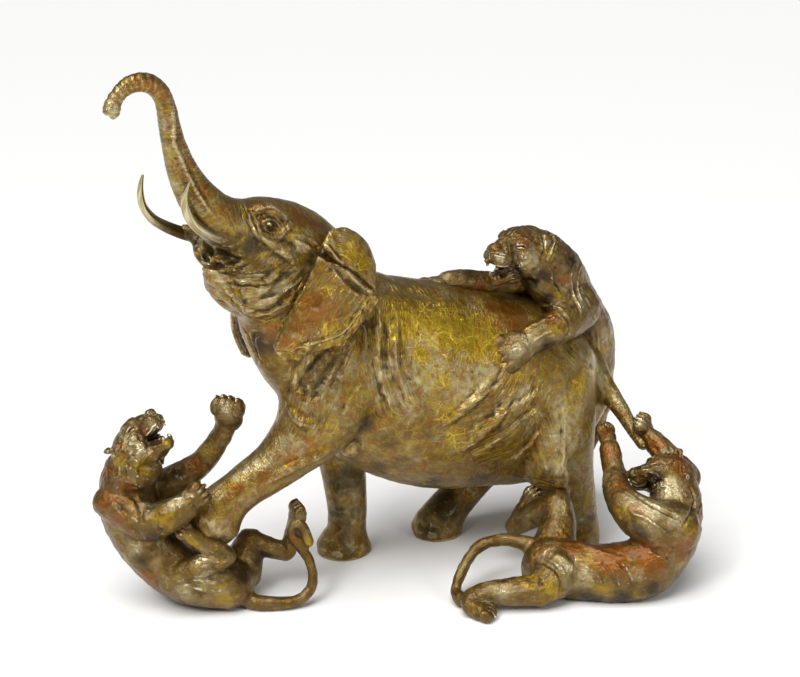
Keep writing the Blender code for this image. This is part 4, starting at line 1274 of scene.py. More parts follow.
marbled_bronze, tree, shader, place, worn = bronze("marbled bronze", {
    "Ground": (0.185, 0.112, 0.018), "Cloud": (0.460, 0.405, 0.225), "Fleck": (
        0.210, 0.104, 0.013,
    ),
    "Yellow": (0.360, 0.245, 0.010), "Rust": (0.240, 0.078, 0.006), "Dark": (0.048, 0.028, 0.006),
    "Vein": (0.72, 0.49, 0.050), "Rubbed Metal": (0.72, 0.58, 0.32), "Deep Patina": (
        0.034, 0.019, 0.004,
    ),
}, rub=0.50, reach=0.22, veins=1.0, sheen_rub=0.3, grain_share=2.3)

# The hide: fine folds as they were drawn, wrinkles that run round each limb and are hatched
# across, and a net of small cracks.
along_limb = mark(tree, "flow", True)
wrinkles = streaky(tree, along_limb, (2.0, 8, 8), 4, 0.62, 0.6)
turned = add(tree, "Mapping", {0: along_limb, 2: (0.7, 0.5, 0.8)}).outputs[0]
hatching = streaky(tree, turned, (1.7, 7, 7), 3, 0.6, 0.5)
cracks = eased(tree, cell_edges(tree, place, 260.0), 0.0, 0.12)
ground = maths(tree, "MULTIPLY_ADD", hatching, 0.40, maths(tree, "MULTIPLY", wrinkles, 0.50))
ground = maths(tree, "MULTIPLY_ADD", cracks, 0.12, ground)
lie_place = mark(tree, "lie", True)
threads = streaky(tree, lie_place, (26, 2.3, 9), 3, 0.6, 0.4)
valleys = maths(tree, "SUBTRACT", streaky(tree, lie_place, (36, 4.2, 7), 2, 0.5, 0.5), 0.5)
valleys = eased(tree, maths(tree, "ABSOLUTE", valleys), 0.0, 0.07)
folds = maths(tree, "MULTIPLY_ADD", threads, 0.85, -0.14)
folds = maths(tree, "MULTIPLY_ADD", valleys, 0.26, folds)
folded_share = eased(tree, mark(tree, "folded"), 0.15, 0.8)
ground = add(tree, "Mix", {0: folded_share, 2: ground, 3: folds}).outputs[0]
# Where the hide carries a stain or the painted sheen it is smoother.
stain_or_sheen = maths(tree, "MAXIMUM", mark(tree, "yellow"), mark(tree, "pale"))
stain_or_sheen = maths(tree, "MAXIMUM", stain_or_sheen, mark(tree, "rust"))
roughness = eased(tree, stain_or_sheen, 0.1, 0.9, 1.0, 0.35)
ground = maths(tree, "MULTIPLY_ADD", maths(tree, "SUBTRACT", ground, 0.5), roughness, 0.5)
fed(tree, worn, {"Grain": ground})
grained(tree, shader, ground, 1.0, 1.9)

elephant = finished("charging_elephant", hide, hide_marks, marbled_bronze)
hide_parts("elephant")


# The two tusks. Each is a slim curved horn of pale bronze, cast on its own, polished brighter
# towards the tip and let into a socket in the upper lip.
TUSK_SIDES = 40
TUSK_STEPS = 10

NEAR_TUSK = [
    (-136, -110, 381, 7), (-152, -127, 386, 6.8), (-164, -137, 391, 6.3), (-175, -146, 399, 5.6),
    (-184, -154, 410, 4.9), (-189, -160, 423, 4), (-189, -164, 437, 3), (-184, -167, 450, 1.2),
]
FAR_TUSK = [
    (-197, -75, 374.5, 6.2), (-206, -80, 379, 5.9), (-218, -88, 387, 5.3), (-228, -97, 397, 4.6),
    (-235, -104, 411, 3.8), (-236, -108, 427, 2.9), (-233, -110, 441, 1.2),
]

polished_tusk = bpy.data.materials.new("polished tusk bronze")
polished_tusk.use_nodes = True
tree = polished_tusk.node_tree
shader = tree.nodes["Principled BSDF"]
place = add(tree, "TexCoord").outputs["Object"]
streaks = streaky(tree, mark(tree, "flow", True), (26, 1.6, 1.6), 4)
tone = blended(tree, eased(tree, streaks, 0.35, 0.7), (0.33, 0.26, 0.12), (0.62, 0.56, 0.37))
root = maths(tree, "MULTIPLY", cloud(tree, place, 5, 3), 0.4)
root = eased(tree, maths(tree, "ADD", mark(tree, "root"), root), 0.20, 0.90)
satin = eased(tree, streaks, 0.3, 0.7, 0.30, 0.20)
fed(tree, shader, {
    "Base Color": blended(tree, root, tone, (0.10, 0.06, 0.015)), "Metallic": 1.0,
    "Roughness": maths(tree, "MULTIPLY_ADD", root, 0.3, satin),
})
grained(tree, shader, streaks, 0.35, 0.6)

for name, node, stations in (
    ("near_tusk", "left_tusk", NEAR_TUSK), ("far_tusk", "right_tusk", FAR_TUSK),
):
    sweeps.clear()
    clay = bmesh.new()
    limb(clay, stations, (0, 0, 1), steps=TUSK_STEPS, sides=TUSK_SIDES)
    mesh = bpy.data.meshes.new(name)
    clay.to_mesh(mesh)
    clay.free()
    tusk = Surface(mesh)
    flow = tusk.flow(sweeps)[0]
    root = 1 - flow[:, 0] / (0.6 * flow[:, 0].max())
    marks = {"flow": flow, "root": root}
    piece = finished(name, tusk, marks, polished_tusk)
    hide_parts(node)


# The lioness under the raised forefoot. She lies on her back, cast in one piece of brown bronze
# whose fur was combed into the clay, and is soldered to the elephant's foot.
MUSCLE_VOXEL = 1.5 * MM
FUR_VOXEL = 1.0 * MM


def figure_frame(forward, up):
    ahead = Vector(forward).normalized()
    left = Vector(up).cross(ahead).normalized()
    return ahead, left, ahead.cross(left)


def placer(origin, forward, up, size):
    """Turns (ahead, left, above) in template mm into group mm."""
    axes = figure_frame(forward, up)
    return lambda x, y, z: Vector(origin) + (axes[0] * x + axes[1] * y + axes[2] * z) * size


def jaw_placer(skull, forward, up, size, gape):
    """The same for the lower jaw, which hangs open by gape degrees from its hinge."""
    ahead, left, above = figure_frame(forward, up)
    hinge = placer(skull, forward, up, size)(3, 0, -12)
    drop = math.radians(gape)
    along = ahead * math.cos(drop) - above * math.sin(drop)
    return placer(hinge, along, along.cross(left), size)


def spikes(clay, place, points, thick, size):
    """A pair of teeth or tufts, one each side: thin limbs that end in a point."""
    last = len(points) - 1
    for hand in (-1, 1):
        spike = [
            (*place(x, y * hand, z), thick * size * (1 - 0.75 * k / last))
            for k, (x, y, z) in enumerate(points)
        ]
        limb(clay, spike, (0, 0.3, 1), 3, 10)


def lioness_head(clay, skull, forward, up, size, gape, ear):
    """A snarling head: size scales it, gape is how far the lower jaw drops, in degrees, and ear is
    where the ear stands, its radii and its tilt."""
    ahead, left, above = figure_frame(forward, up)
    place = placer(skull, forward, up, size)
    jaw = jaw_placer(skull, forward, up, size, gape)

    def ball(x, y, z, radii, tip=0):
        lean = ahead * math.cos(math.radians(tip)) + above * math.sin(math.radians(tip))
        lump(clay, place(x, y, z), [r * size for r in radii], lean, left)

    core = [(-12, 0, -3, 12), (0, 0, -1, 13), (12, 0, 1, 8), (24, 0, -2, 5)]
    limb(clay, [(*place(x, y, z), r * size) for x, y, z, r in core], left)
    ball(-1, 0, -2, (19, 16.5, 16.5))
    ball(9, 0, 4.5, (13, 11.5, 9.5), -12)
    ball(20, 0, 1, (12, 6.4, 7.6), -24)
    ball(24, 0, -4, (9.5, 8, 7))
    ball(30.8, 0, -0.4, (4.4, 5, 4.6), -20)
    for hand in (-1, 1):
        ball(25, 4.4 * hand, -5.3, (8.6, 4.4, 5.4))
        ball(2, 9.6 * hand, -7.5, (13, 7, 11), -10)
        ball(ear[0], ear[1] * hand, ear[2], ear[3], ear[4])
        ball(13, 7.8 * hand, 6.9, (5.4, 3.2, 2.6), -20)
        ball(13.6, 7.6 * hand, 2.6, (3.6, 3.2, 2.9))
        ball(10, 10.4 * hand, -1.6, (7, 3.4, 3.6), -20)
    chin = ((0, 12, 8), (9, 9.5, 6.4), (17, 6.6, 4.6), (22, 5.4, 4))
    limb(clay, [(*jaw(d, 0, 0), w * size, h * size) for d, w, h in chin], left)


def teeth_and_tufts(clay, skull, forward, up, size, gape, ear):
    """The tongue, the teeth and the ruff of the cheeks."""
    left = figure_frame(forward, up)[1]
    place = placer(skull, forward, up, size)
    jaw = jaw_placer(skull, forward, up, size, gape)
    tongue = ((4, 6, 5), (11, 6.5, 4.4), (18, 5.6, 3.2))
    limb(clay, [(*jaw(d, 0, z), w * size, 1.5 * size) for d, z, w in tongue], left)
    spikes(clay, place, [(29.5, 4.2, -9), (29.9, 4.1, -11), (29.2, 3.9, -12.8)], 1.7, size)
    spikes(clay, jaw, [(22.6, 3.9, 3), (22.8, 3.8, 5), (22.2, 3.6, 6.4)], 1.5, size)
    for row in range(2):
        for tuft in range(6):
            x, z = 2 - 7 * row + (tuft * 5 % 4) * 1.3, 3 - tuft * 3.6 - 1.6 * row
            lock = [(x, 15.2, z), (x - 5, 16.2, z - 2.8), (x - 9, 15.4, z - 6.4)]
            spikes(clay, place, lock, 2.4, size)
    for tuft in range(2):
        lock = [(10, 6.2, -3), (6, 7, -6), (2, 6.4, -8)]
        lock = [(x + 4 * tuft, y - tuft, z) for x, y, z in lock]
        spikes(clay, jaw, lock, 2.2, size)


def face_marks(figure, skull, forward, up, size, gape, ear):
    """Cuts the eyes, the nose, the ears, the lips and the snarl into a lioness's head."""
    place = placer(skull, forward, up, size)
    jaw = jaw_placer(skull, forward, up, size, gape)
    ahead, left, above = figure_frame(forward, up)

    def cut(points, width, depth, kind="crease", where=place, ends=0.25):
        run = figure.near([where(*p) for p in points])
        figure.stroke(run, width * size, depth * size, kind, ends)

    for hand in (-1, 1):
        figure.poke(place(18.8, 5.6 * hand, 3.2), 2.2 * size, 1.0 * size)
        cup, cup_radius = place(ear[0] + 2.6, ear[1] * hand, ear[2] + 1.6), 0.56 * ear[3][2]
        figure.poke(cup, cup_radius * size, 2.4 * size, -ahead - above * 0.4)
        nostril = place(34.2, 3.1 * hand, -0.4)
        figure.poke(nostril, 1.0 * size, 1.5 * size, -ahead - left * 0.5 * hand)
    figure.settle()
    for hand in (-1, 1):
        eye = [(18, 5.8, 2.2), (16.4, 8.2, 3.9), (14.2, 9.6, 4.0), (12.4, 10.6, 3.0)]
        cut([(x, y * hand, z) for x, y, z in eye], 0.6, 0.8)
        cut([(x - 0.3, (y + 0.2) * hand, z + 1.7) for x, y, z in eye], 0.8, 0.4, "ridge")
        low = [(18, 5.8, 2.2), (16, 8.8, 1.6), (14, 10, 1.8), (12.4, 10.6, 3.0)]
        cut([(x, y * hand, z) for x, y, z in low], 0.5, 0.55)
        for points, width, depth, kind in (
            ([(22, 2.2, 6.5), (17, 6.5, 9), (11, 10.5, 8.4), (5, 13, 5.6)], 1.2, 0.6, "ridge"),
            ([(22, 2.4, 6.5), (23.9, 5.6, 3.6), (23.2, 8.2, -0.6)], 0.9, 0.22, "crease"),
            ([(26, 2.4, 4.5), (27.9, 5.6, 3.6), (27.2, 8.2, -0.6)], 0.9, 0.18, "crease"),
            ([(34.2, 2.6, -2.4), (31, 6.5, -1.8), (27, 8.9, -2.2)], 0.65, 0.6, "crease"),
            (
                [(33.4, 1.2, -8.6), (29, 8.2, -10.4), (22, 9.6, -9.6), (14, 11, -9.6)], 0.9, 0.9,
                "ridge",
            ),
            ([(15, 11.5, -7), (12, 13, -4), (11.5, 13.4, -1)], 1.3, 0.6, "crease"),
            ([(8, 14.5, -12), (3, 16.5, -7), (2, 17, -1)], 1.6, 0.6, "crease"),
        ):
            cut([(x, y * hand, z) for x, y, z in points], width, depth, kind)
        for x, z in ((30, -4), (28, -4.4), (29.6, -6), (27.4, -6.6), (25.4, -5)):
            figure.poke(place(x, 8.8 * hand, z), 0.6 * size, 0.5 * size)
        lip = [(24, 5, 2), (17, 7.4, 2.6), (9, 8.4, 3)]
        cut([(x, y * hand, z) for x, y, z in lip], 0.9, 0.5, "ridge", jaw)
        jowl = [(21, 5.8, -1), (14, 7.6, -1.6), (7, 9, -2.4)]
        cut([(x, y * hand, z) for x, y, z in jowl], 0.9, 0.3, "crease", jaw)
    cut([(36, 0, -0.8), (34.4, 0, -4.5), (32.6, 0, -8)], 0.6, 0.9)
    cut([(29.2, -4, 3.4), (30.2, 0, 4.6), (29.2, 4, 3.4)], 0.7, 0.5)
    cut([(33.6, -4.4, -1.8), (35, 0, -3), (33.6, 4.4, -1.8)], 0.6, 0.5)
    cut([(26, 0, 6.6), (17, 0, 11), (8, 0, 14.4)], 1.0, 0.6)
    figure.settle()


def paw(clay, heel, forward, up, size):
    """A paw with four toes side by side, its back towards up."""
    ahead, left, above = figure_frame(forward, up)
    place = placer(heel, forward, up, size)
    lump(clay, heel, [r * size for r in (9, 8.2, 6.4)], ahead, left)
    lump(clay, place(5, 0, -2.4), [r * size for r in (4.6, 5.6, 3.2)], ahead, left)
    for step in (-1.5, -0.5, 0.5, 1.5):
        tip = place(6.4 - abs(step), step * 3.8, 0.5)
        lump(clay, tip, [r * size for r in (5.8, 3.7, 5.3)], ahead + left * (step * 0.1), left)


def claws(clay, heel, forward, up, size):
    """The four claws of a paw, curved down and thinner towards their points."""
    left = figure_frame(forward, up)[1]
    place = placer(heel, forward, up, size)
    for step in (-1.5, -0.5, 0.5, 1.5):
        reach = 10.8 - abs(step)
        claw = ((reach + 0.4, 1.6, 1.3), (reach + 1.7, 0.5, 1.0), (reach + 2.0, -1.2, 0.5))
        limb(clay, [(*place(x, step * 4.0, z), r * size) for x, z, r in claw], left, 3, 8)


def toe_marks(figure, heel, forward, up, size):
    """The three furrows that part the toes of a paw."""
    place = placer(heel, forward, up, size)
    for step in (-1, 0, 1):
        furrow = ((11.6, 3.9, -1), (9.6, 3.9, 3.4), (5, 3.7, 5.6))
        line = [place(x, step * y, z) for x, y, z in furrow]
        figure.stroke(figure.near(line), 0.9 * size, 0.5 * size)


def combed(figure, spines, head, seed):
    """Leaves the clay lumpy from the thumb and combs it in short locks, longest about the head."""
    flow = figure.flow(spines)[0]
    skull = np.array(head[0]) * MM
    shaggy = np.exp(-((figure.at - skull) ** 2).sum(1) / (30 * head[3] * MM) ** 2)
    sway = np.stack([clay_noise(figure.at, 12 * MM, seed + k) for k in range(3)], 1) * 3.5 * MM
    lumps = sum(
        clay_noise(figure.at, size * MM, seed + 7 + k) * height
        for k, (size, height) in enumerate(((13, 0.7), (6.5, 0.5), (3.4, 0.22)))
    )
    locks = 0.35 - np.abs(clay_noise((flow + sway) * (1 / 2.6, 1, 1), 3.6 * MM, seed + 4))
    muscles = clay_noise((flow + sway) * (1 / 5, 1, 1), 8 * MM, seed + 5)
    figure.raise_by((lumps + locks * (0.45 + 1.3 * shaggy) + muscles * 0.45) * MM)


UPRIGHT_EAR = (-8, 11.8, 9, (2.6, 4.8, 5.2), 50)


def lioness(name, limbs, head, paws, muscles, tints, wiped, node, seed):
    """Models, works and finishes one lioness, in the place of its solid."""
    sweeps.clear()
    clay = bmesh.new()
    for stations in limbs.values():
        limb(clay, stations)
    mass = skin(clay, MUSCLE_VOXEL, MASS_PASSES)
    clay = bmesh.new()
    lioness_head(clay, *head)
    for foot in paws:
        paw(clay, *foot)
    spines = sweeps[:]
    teeth_and_tufts(clay, *head)
    for foot in paws:
        claws(clay, *foot)
    clay.from_mesh(mass)
    figure = Surface(skin(clay, FUR_VOXEL, 5))
    combed(figure, spines, head, seed)
    figure.settle()
    for line, width, depth, kind in muscles:
        figure.draw(line, width, depth, kind)
    figure.settle()
    figure.smooth(wiped, 20)
    face_marks(figure, *head)
    for foot in paws:
        toe_marks(figure, *foot)
    figure.at[:, 2] = np.maximum(figure.at[:, 2], 0)
    figure.settle()
    figure = Surface(thinned(figure.mesh, MOST_TRIANGLES))
    marks = {
        "flow": figure.flow(spines)[0],
        "fine_hollow": figure.hollowness(3),
        "broad_hollow": figure.hollowness(14),
        # Yellow and rust are stains; the sheen tint is painted highlight with rubbed metal, and
        # the shading tint is painted shade.
        **{stain: figure.wash(spots) for stain, spots in tints.items()},
    }
    # The open mouth is filled with painted shade.
    mouth = np.array(jaw_placer(*head[:5])(12, 0, 9)) * MM
    inside = ((figure.at - mouth) ** 2).sum(1) / (9 * head[3] * MM) ** 2
    marks["dark"] = np.maximum(marks["dark"], 1.2 * np.exp(-inside))
    piece = finished(name, figure, marks, brown_bronze)
    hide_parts(node)


brown_bronze, tree, shader, place, worn = bronze("brown bronze", {
    "Ground": (0.140, 0.080, 0.014), "Cloud": (0.360, 0.300, 0.150), "Fleck": (
        0.180, 0.080, 0.010,
    ),
    "Yellow": (0.340, 0.215, 0.010), "Rust": (0.215, 0.066, 0.005), "Dark": (0.034, 0.019, 0.005),
    "Vein": (0.50, 0.32, 0.04), "Rubbed Metal": (0.84, 0.73, 0.49), "Deep Patina": (
        0.026, 0.014, 0.003,
    ),
}, rub=0.85, reach=0.20, veins=0.3, sheen_rub=1.0, grain_share=4.0)

# Single hairs, combed along each limb.
coat = mark(tree, "flow", True)
hairs = streaky(tree, coat, (5, 1.3, 1.3), 4, 0.6, 0.6)
dabs = cloud(tree, place, 3.6, 3, 0.5, 0.8)
tufted = maths(tree, "MULTIPLY_ADD", dabs, 0.55, maths(tree, "MULTIPLY", hairs, 0.45))
fed(tree, worn, {"Grain": tufted})
grained(tree, shader, tufted, 0.8, 2.2)


UNDER_FOOT = {
    "spine": [
        (-168, -98, 22, 27, 25), (-200, -99, 27, 29, 27), (-225, -98, 41, 30, 29),
        (-246, -96, 65, 31, 30), (-263, -93, 95, 31, 30), (-267, -91, 120, 28, 27),
        (-262, -91, 142, 25, 25),
    ],
    "near arm": [
        (-282, -104, 112, 17), (-264, -114, 107, 19), (-242, -121, 99, 18),
        (-222, -124, 108, 16.5), (-206, -124, 117, 14),
    ],
    "ruff": [(-264, -107, 141, 12), (-250, -107, 142, 14), (-240, -100, 147, 11)],
    "far arm": [
        (-236, -70, 112, 18), (-201, -66, 133, 13.5), (-185, -68, 152, 12), (-174, -70, 170, 11),
        (-169, -71, 182, 11),
    ],
    "near thigh": [(-166, -108, 24, 20, 24), (-196, -116, 30, 17, 23), (-222, -122, 37, 13, 15)],
    "near shin": [(-222, -122, 39, 12), (-194, -124, 53, 11.5), (-168, -121, 62, 9.5)],
    "near foot": [(-168, -121, 65, 9), (-188, -120, 75, 8.5), (-202, -119, 84, 8.5)],
    "far thigh": [(-160, -82, 24, 18, 22), (-154, -72, 42, 15, 18), (-150, -69, 54, 12, 14)],
    "far shin": [(-150, -69, 54, 12.5), (-132, -71, 48, 10.5), (-114, -72, 43, 9.5)],
    "far foot": [(-112, -72, 44, 9), (-107, -74, 62, 8.5), (-103, -75, 78, 9)],
    "tail": [
        (-160, -106, 13, 9), (-146, -110, 8, 8), (-126, -112, 6.5, 7.5), (-106, -110, 7, 6.5),
        (-92, -104, 13, 6), (-86, -98, 25, 5.8), (-89, -92, 41, 5.5), (-98, -86, 55, 5.2),
        (-107, -85, 69, 5), (-106, -86, 80, 5), (-97, -88, 80, 5), (-90, -88, 62, 6),
    ],
}


lioness(
    "lioness_on_her_back", UNDER_FOOT,
    ((-258, -92, 167), (0.47, -0.171, 0.861), (-0.738, 0.444, 0.491), 1.34, 30, UPRIGHT_EAR),
    (
        ((-199, -122, 125), (0.75, 0.3, 0.55), (0.2, -1, 0.1), 1.45),
        ((-167, -72, 190), (-0.05, -0.2, 1), (0.4, 1, 0.2), 1.85),
        ((-205, -119, 87), (-0.8, 0, 0.6), (0.3, -0.8, 0.5), 1.0),
        ((-102, -76, 84), (0.15, -0.1, 1), (-0.9, -0.35, 0.2), 1.35),
    ),
    (
        ([(120, 492), (132, 496), (140, 508), (142, 524)], 3.0, 1.4, "crease"),
        ([(112, 500), (124, 512), (134, 528), (146, 544)], 3.0, 1.2, "crease"),
        ([(160, 596), (176, 586), (200, 578), (224, 580)], 2.6, 1.2, "crease"),
        ([(156, 528), (170, 534), (184, 538)], 2.6, 1.4, "crease"),
        ([(170, 500), (184, 498), (198, 496)], 2.0, 0.9, "ridge"),
        ([(176, 580), (196, 588), (220, 590), (240, 584)], 3.2, 1.4, "ridge"),
        ([(194, 556), (214, 562), (232, 560)], 2.4, 1.0, "ridge"),
        ([(130, 470), (142, 478), (156, 480)], 2.6, 1.3, "ridge"),
        ([(126, 462), (140, 470), (156, 470)], 1.6, 1.0, "crease"),
    ),
    # Painted sheen with rubbed metal, and painted shade on the belly, in the mouth and between the
    # limbs, beside the yellow and rust stains.
    {
        "pale": (
            (157, 426, 7, 1), (129, 440, 6, 1), (141, 450, 7, 1), (176, 500, 10, 1),
            (192, 520, 12, 1), (210, 528, 8, 0.8), (225, 410, 8, 0.8), (200, 560, 10, 0.9),
            (205, 578, 12, 0.9), (185, 592, 10, 0.7), (150, 505, 8, 0.7), (302, 500, 8, 0.9),
            (318, 585, 8, 0.7), (136, 548, 8, 0.7),
        ),
        "yellow": (
            (141, 466, 10, 0.9), (120, 462, 9, 0.7), (160, 520, 10, 0.6), (190, 545, 10, 0.7),
            (224, 600, 12, 0.6), (310, 540, 8, 0.7), (165, 440, 6, 0.6), (208, 452, 9, 0.7),
        ),
        "rust": (
            (127, 488, 9, 1), (108, 470, 10, 0.9), (104, 500, 12, 0.9), (148, 580, 14, 0.8),
            (120, 520, 12, 0.7), (195, 465, 10, 0.9), (142, 430, 7, 0.8), (200, 484, 6, 0.6),
            (290, 540, 8, 0.8), (320, 560, 8, 0.6), (118, 448, 8, 0.7),
        ),
        "dark": (
            (176, 462, 12, 1.1), (172, 474, 10, 1), (154, 540, 14, 1), (172, 534, 12, 1),
            (140, 560, 12, 0.7), (240, 575, 16, 0.9), (225, 552, 10, 0.7), (262, 556, 14, 0.7),
            (160, 494, 6, 0.6), (120, 505, 7, 0.6), (236, 424, 8, 0.6), (150, 510, 8, 0.5),
            (300, 480, 6, 0.5),
        ),
    },
    ((146, 471, 10, 1), (152, 476, 8, 0.8), (138, 470, 8, 0.6)),
    "lioness_under_foot", 41,
)


# The lioness on the elephant's back. She is a cast of her own in the same brown bronze, and hangs
# on by both forepaws, with her far arm laid along the spine.
ON_BACK = {
    "spine": [
        (138, 48, 316, 27, 28), (155, 60, 294, 30, 32), (171, 78, 256, 34, 34),
        (193, 100, 214, 31, 33), (204, 114, 172, 28, 27),
    ],
    "near arm": [
        (180, 52, 260, 26), (170, 28, 256, 21), (156, 10, 252, 17), (136, -2, 246, 15),
        (122, -8, 240, 15),
    ],
    "far arm": [
        (160, 74, 280, 20), (126, 60, 284, 14), (92, 46, 287, 12), (68, 38, 293, 11.5),
        (48, 32, 294, 11.5),
    ],
    "throat": [(134, 42, 304, 15), (144, 40, 290, 17), (156, 44, 276, 20)],
    "near thigh": [(206, 110, 168, 22), (212, 104, 140, 18), (206, 96, 116, 12)],
    "far thigh": [(194, 128, 168, 24), (180, 146, 142, 20), (164, 148, 120, 13)],
    "far shin": [(164, 148, 120, 11), (158, 142, 94, 10), (148, 136, 74, 10)],
    "tail": [
        (208, 126, 152, 9), (220, 142, 130, 7), (224, 152, 100, 6), (218, 158, 70, 6),
        (206, 158, 48, 7),
    ],
}


lioness(
    "lioness_biting_the_rump", ON_BACK,
    (
        (125, 44, 326), (-0.68, -0.71, 0.17), (0.1, 0, 1), 1.52, 26,
        (-10, 14.2, 5.5, (2.4, 3.6, 7.5), 70),
    ),
    (
        ((114, -14, 238), (-0.88, -0.08, -0.46), (0.1, -0.9, 0.42), 2.25),
        ((35, 26, 290), (-0.95, -0.3, -0.25), (-0.25, -0.1, 1), 1.7),
    ),
    (
        ([(574, 262), (571, 276), (573, 292), (579, 306), (582, 318)], 1.8, 1.3, "ridge"),
        ([(582, 262), (578, 276), (578, 290), (583, 302)], 1.5, 1.0, "ridge"),
        ([(562, 314), (569, 322), (569, 332), (562, 340)], 1.8, 1.0, "crease"),
        ([(586, 296), (594, 316), (597, 338), (600, 360)], 2.0, 0.9, "ridge"),
        ([(598, 300), (606, 322), (610, 346)], 2.2, 1.0, "crease"),
        ([(528, 300), (540, 305), (552, 306), (564, 310)], 1.8, 1.2, "ridge"),
        ([(524, 330), (540, 322), (556, 316)], 1.6, 0.8, "ridge"),
        ([(532, 342), (546, 334), (560, 328)], 1.6, 0.8, "ridge"),
        ([(556, 266), (556, 282), (564, 294)], 2.4, 1.2, "crease"),
        ([(546, 230), (553, 238), (552, 250), (546, 262)], 1.6, 1.4, "ridge"),
        ([(541, 234), (544, 246), (542, 258)], 1.5, 1.3, "crease"),
    ),
    # Painted sheen with rubbed metal on the face and paw, and painted shade round the jaw and
    # under the arm, beside the yellow and rust stains.
    {
        "pale": (
            (531, 259, 8, 0.9), (519, 262, 6, 0.8), (500, 258, 6, 0.8), (547, 242, 5, 0.9),
            (566, 288, 6, 0.9), (528, 340, 9, 0.9), (518, 350, 8, 1.1), (578, 300, 7, 0.7),
            (606, 340, 10, 0.6), (440, 278, 12, 0.5), (556, 306, 6, 0.6), (612, 378, 9, 0.6),
        ),
        "yellow": (
            (520, 286, 8, 0.6), (556, 330, 9, 0.7), (548, 250, 8, 0.5), (600, 352, 10, 0.6),
            (530, 326, 8, 0.5), (560, 296, 7, 0.5),
        ),
        "rust": (
            (527, 240, 10, 0.8), (503, 282, 8, 0.8), (565, 279, 8, 1), (551, 318, 10, 0.8),
            (480, 290, 12, 0.7), (430, 288, 10, 0.5), (496, 248, 6, 0.6), (596, 400, 10, 0.6),
        ),
        "dark": (
            (541, 228, 10, 0.9), (518, 272, 8, 1.2), (530, 280, 12, 1.2), (545, 276, 9, 0.9),
            (572, 262, 12, 1), (545, 300, 12, 0.9), (548, 346, 12, 1), (470, 272, 14, 0.9),
            (590, 330, 12, 0.8), (502, 272, 8, 1), (600, 370, 12, 0.6), (524, 326, 7, 0.6),
        ),
    },
    ((532, 262, 13, 1), (524, 274, 9, 0.8), (500, 258, 7, 0.7), (512, 262, 7, 0.7)),
    "lioness_on_back", 61,
)


# The lioness on the ground behind. The last cast: she lies stretched on her side, rears her chest,
# and holds the elephant's tail in her teeth.
AT_TAIL = {
    "spine": [
        (148, -74, 28, 27, 30), (196, -84, 26, 27, 30), (240, -80, 29, 30, 32),
        (268, -64, 50, 32, 28), (276, -50, 70, 30, 28), (278, -38, 86, 26, 26),
        (275, -30, 100, 22, 23),
    ],
    "near arm": [
        (274, -74, 70, 26), (252, -76, 76, 25), (229, -64, 86, 20), (218, -42, 99, 14.5),
        (217, -22, 111, 11.5), (214, -4, 126, 10.5),
    ],
    "far arm": [(290, -14, 98, 17), (274, 6, 114, 13), (259, 20, 127, 11)],
    "near thigh": [(158, -88, 30, 25), (148, -100, 24, 21), (138, -106, 18, 17)],
    "near shin": [(138, -106, 18, 16), (98, -112, 19, 13), (76, -114, 17, 10)],
    "near foot": [(72, -114, 15, 9.5), (67, -121, 11, 9), (74, -127, 8, 8.5)],
    "far thigh": [(156, -56, 40, 23), (161, -36, 60, 18), (160, -26, 74, 15)],
    "far shin": [(160, -26, 74, 14), (138, -18, 58, 13), (119, -10, 40, 10)],
    "far foot": [(118, -10, 40, 10), (127, -5, 54, 10), (133, -2, 62, 10)],
    "tail": [
        (138, -66, 44, 9.5), (118, -61, 49, 7.5), (100, -61, 51, 6.8), (78, -67, 45, 6.2),
        (63, -79, 28, 5.8), (56, -95, 12, 5.8), (60, -106, 7.5, 7.5),
    ],
}


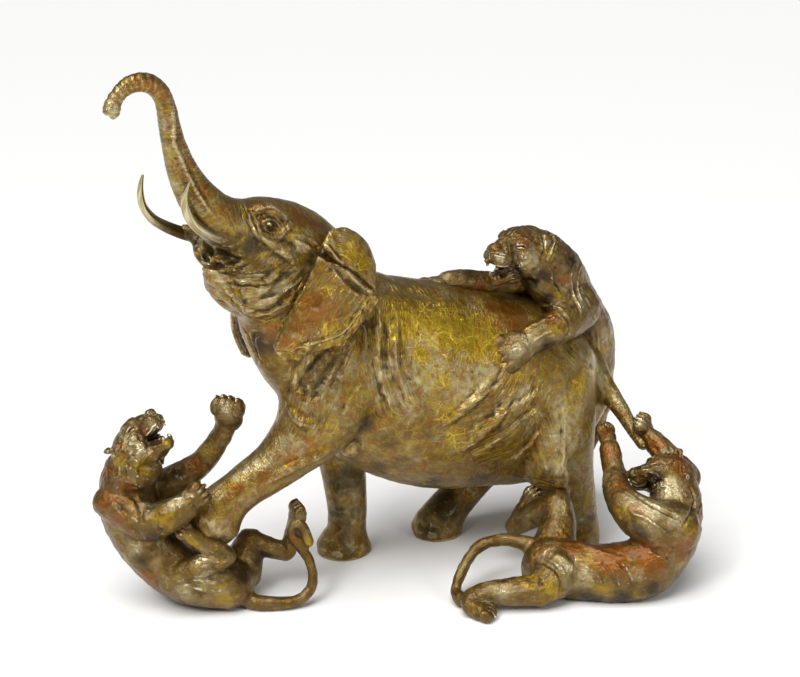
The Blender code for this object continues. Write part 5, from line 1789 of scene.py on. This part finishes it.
lioness(
    "lioness_biting_the_tail", AT_TAIL,
    ((272, -27, 110), (-0.96, -0.16, 0.04), (0.02, -0.55, 0.83), 1.22, 16, UPRIGHT_EAR),
    (
        ((212, 6, 135), (-0.3, 0.5, 0.8), (0.8, -0.6, 0.3), 1.3),
        ((253, 26, 134), (-0.5, 0, 0.85), (0.7, -0.5, 0.5), 1.45),
        ((79, -130, 8), (0.9, -0.3, -0.15), (0.1, -0.2, 1), 1.3),
        ((134, -2, 64), (0.5, -0.1, 0.85), (-0.7, -0.6, 0.4), 1.45),
    ),
    (
        ([(690, 486), (694, 500), (690, 514), (682, 528)], 2.0, 1.4, "crease"),
        ([(698, 480), (702, 498), (698, 516)], 1.8, 1.0, "ridge"),
        ([(632, 492), (646, 502), (664, 512), (682, 520)], 2.4, 1.2, "crease"),
        ([(628, 512), (644, 518), (660, 528), (672, 538)], 2.4, 1.2, "ridge"),
        ([(648, 546), (660, 554), (672, 560)], 1.8, 1.0, "crease"),
        ([(590, 566), (600, 576), (606, 590)], 1.8, 0.8, "crease"),
        ([(602, 562), (612, 574), (618, 588)], 1.8, 0.8, "crease"),
        ([(616, 560), (626, 572), (632, 586)], 1.8, 0.8, "crease"),
        ([(540, 560), (556, 570), (562, 584), (558, 598)], 3.0, 1.5, "crease"),
        ([(560, 532), (580, 544), (606, 554), (640, 562)], 2.6, 0.9, "ridge"),
        ([(500, 592), (520, 592), (540, 590)], 2.4, 1.0, "ridge"),
    ),
    # Painted sheen with rubbed metal, and painted shade on the underside, between the arms and at
    # the mouth, beside the yellow and rust stains.
    {
        "pale": (
            (668, 490, 12, 1.2), (652, 508, 14, 1.1), (676, 520, 10, 0.8), (632, 498, 9, 0.9),
            (604, 478, 6, 0.8), (566, 566, 10, 1), (585, 574, 9, 0.9), (545, 552, 8, 0.7),
            (506, 560, 8, 0.7), (640, 574, 9, 0.6), (506, 590, 9, 0.5), (478, 556, 8, 0.6),
            (528, 490, 7, 0.8), (640, 422, 7, 0.8),
        ),
        "yellow": (
            (618, 512, 10, 0.6), (690, 530, 9, 0.6), (590, 560, 9, 0.5), (530, 580, 12, 0.5),
            (550, 592, 12, 0.6), (600, 590, 12, 0.6), (645, 596, 12, 0.5),
        ),
        "rust": (
            (612, 556, 20, 1.2), (650, 558, 18, 1.2), (684, 548, 14, 1), (702, 516, 12, 1),
            (700, 488, 12, 1.1), (682, 462, 14, 1), (655, 446, 12, 0.9), (575, 545, 16, 1),
            (545, 548, 12, 0.8), (610, 452, 9, 0.9), (606, 432, 7, 0.8), (622, 484, 9, 0.9),
            (640, 512, 8, 0.7), (520, 566, 10, 0.6),
        ),
        "dark": (
            (590, 598, 16, 1), (622, 600, 16, 1), (652, 590, 14, 1), (680, 574, 10, 0.7),
            (656, 478, 10, 1), (640, 466, 9, 1), (606, 530, 14, 1), (640, 532, 10, 0.8),
            (560, 604, 12, 0.7), (470, 582, 12, 0.8), (600, 500, 8, 0.6), (490, 610, 10, 0.6),
        ),
    },
    ((664, 470, 9, 0.6),),
    "lioness_at_tail", 81,
)
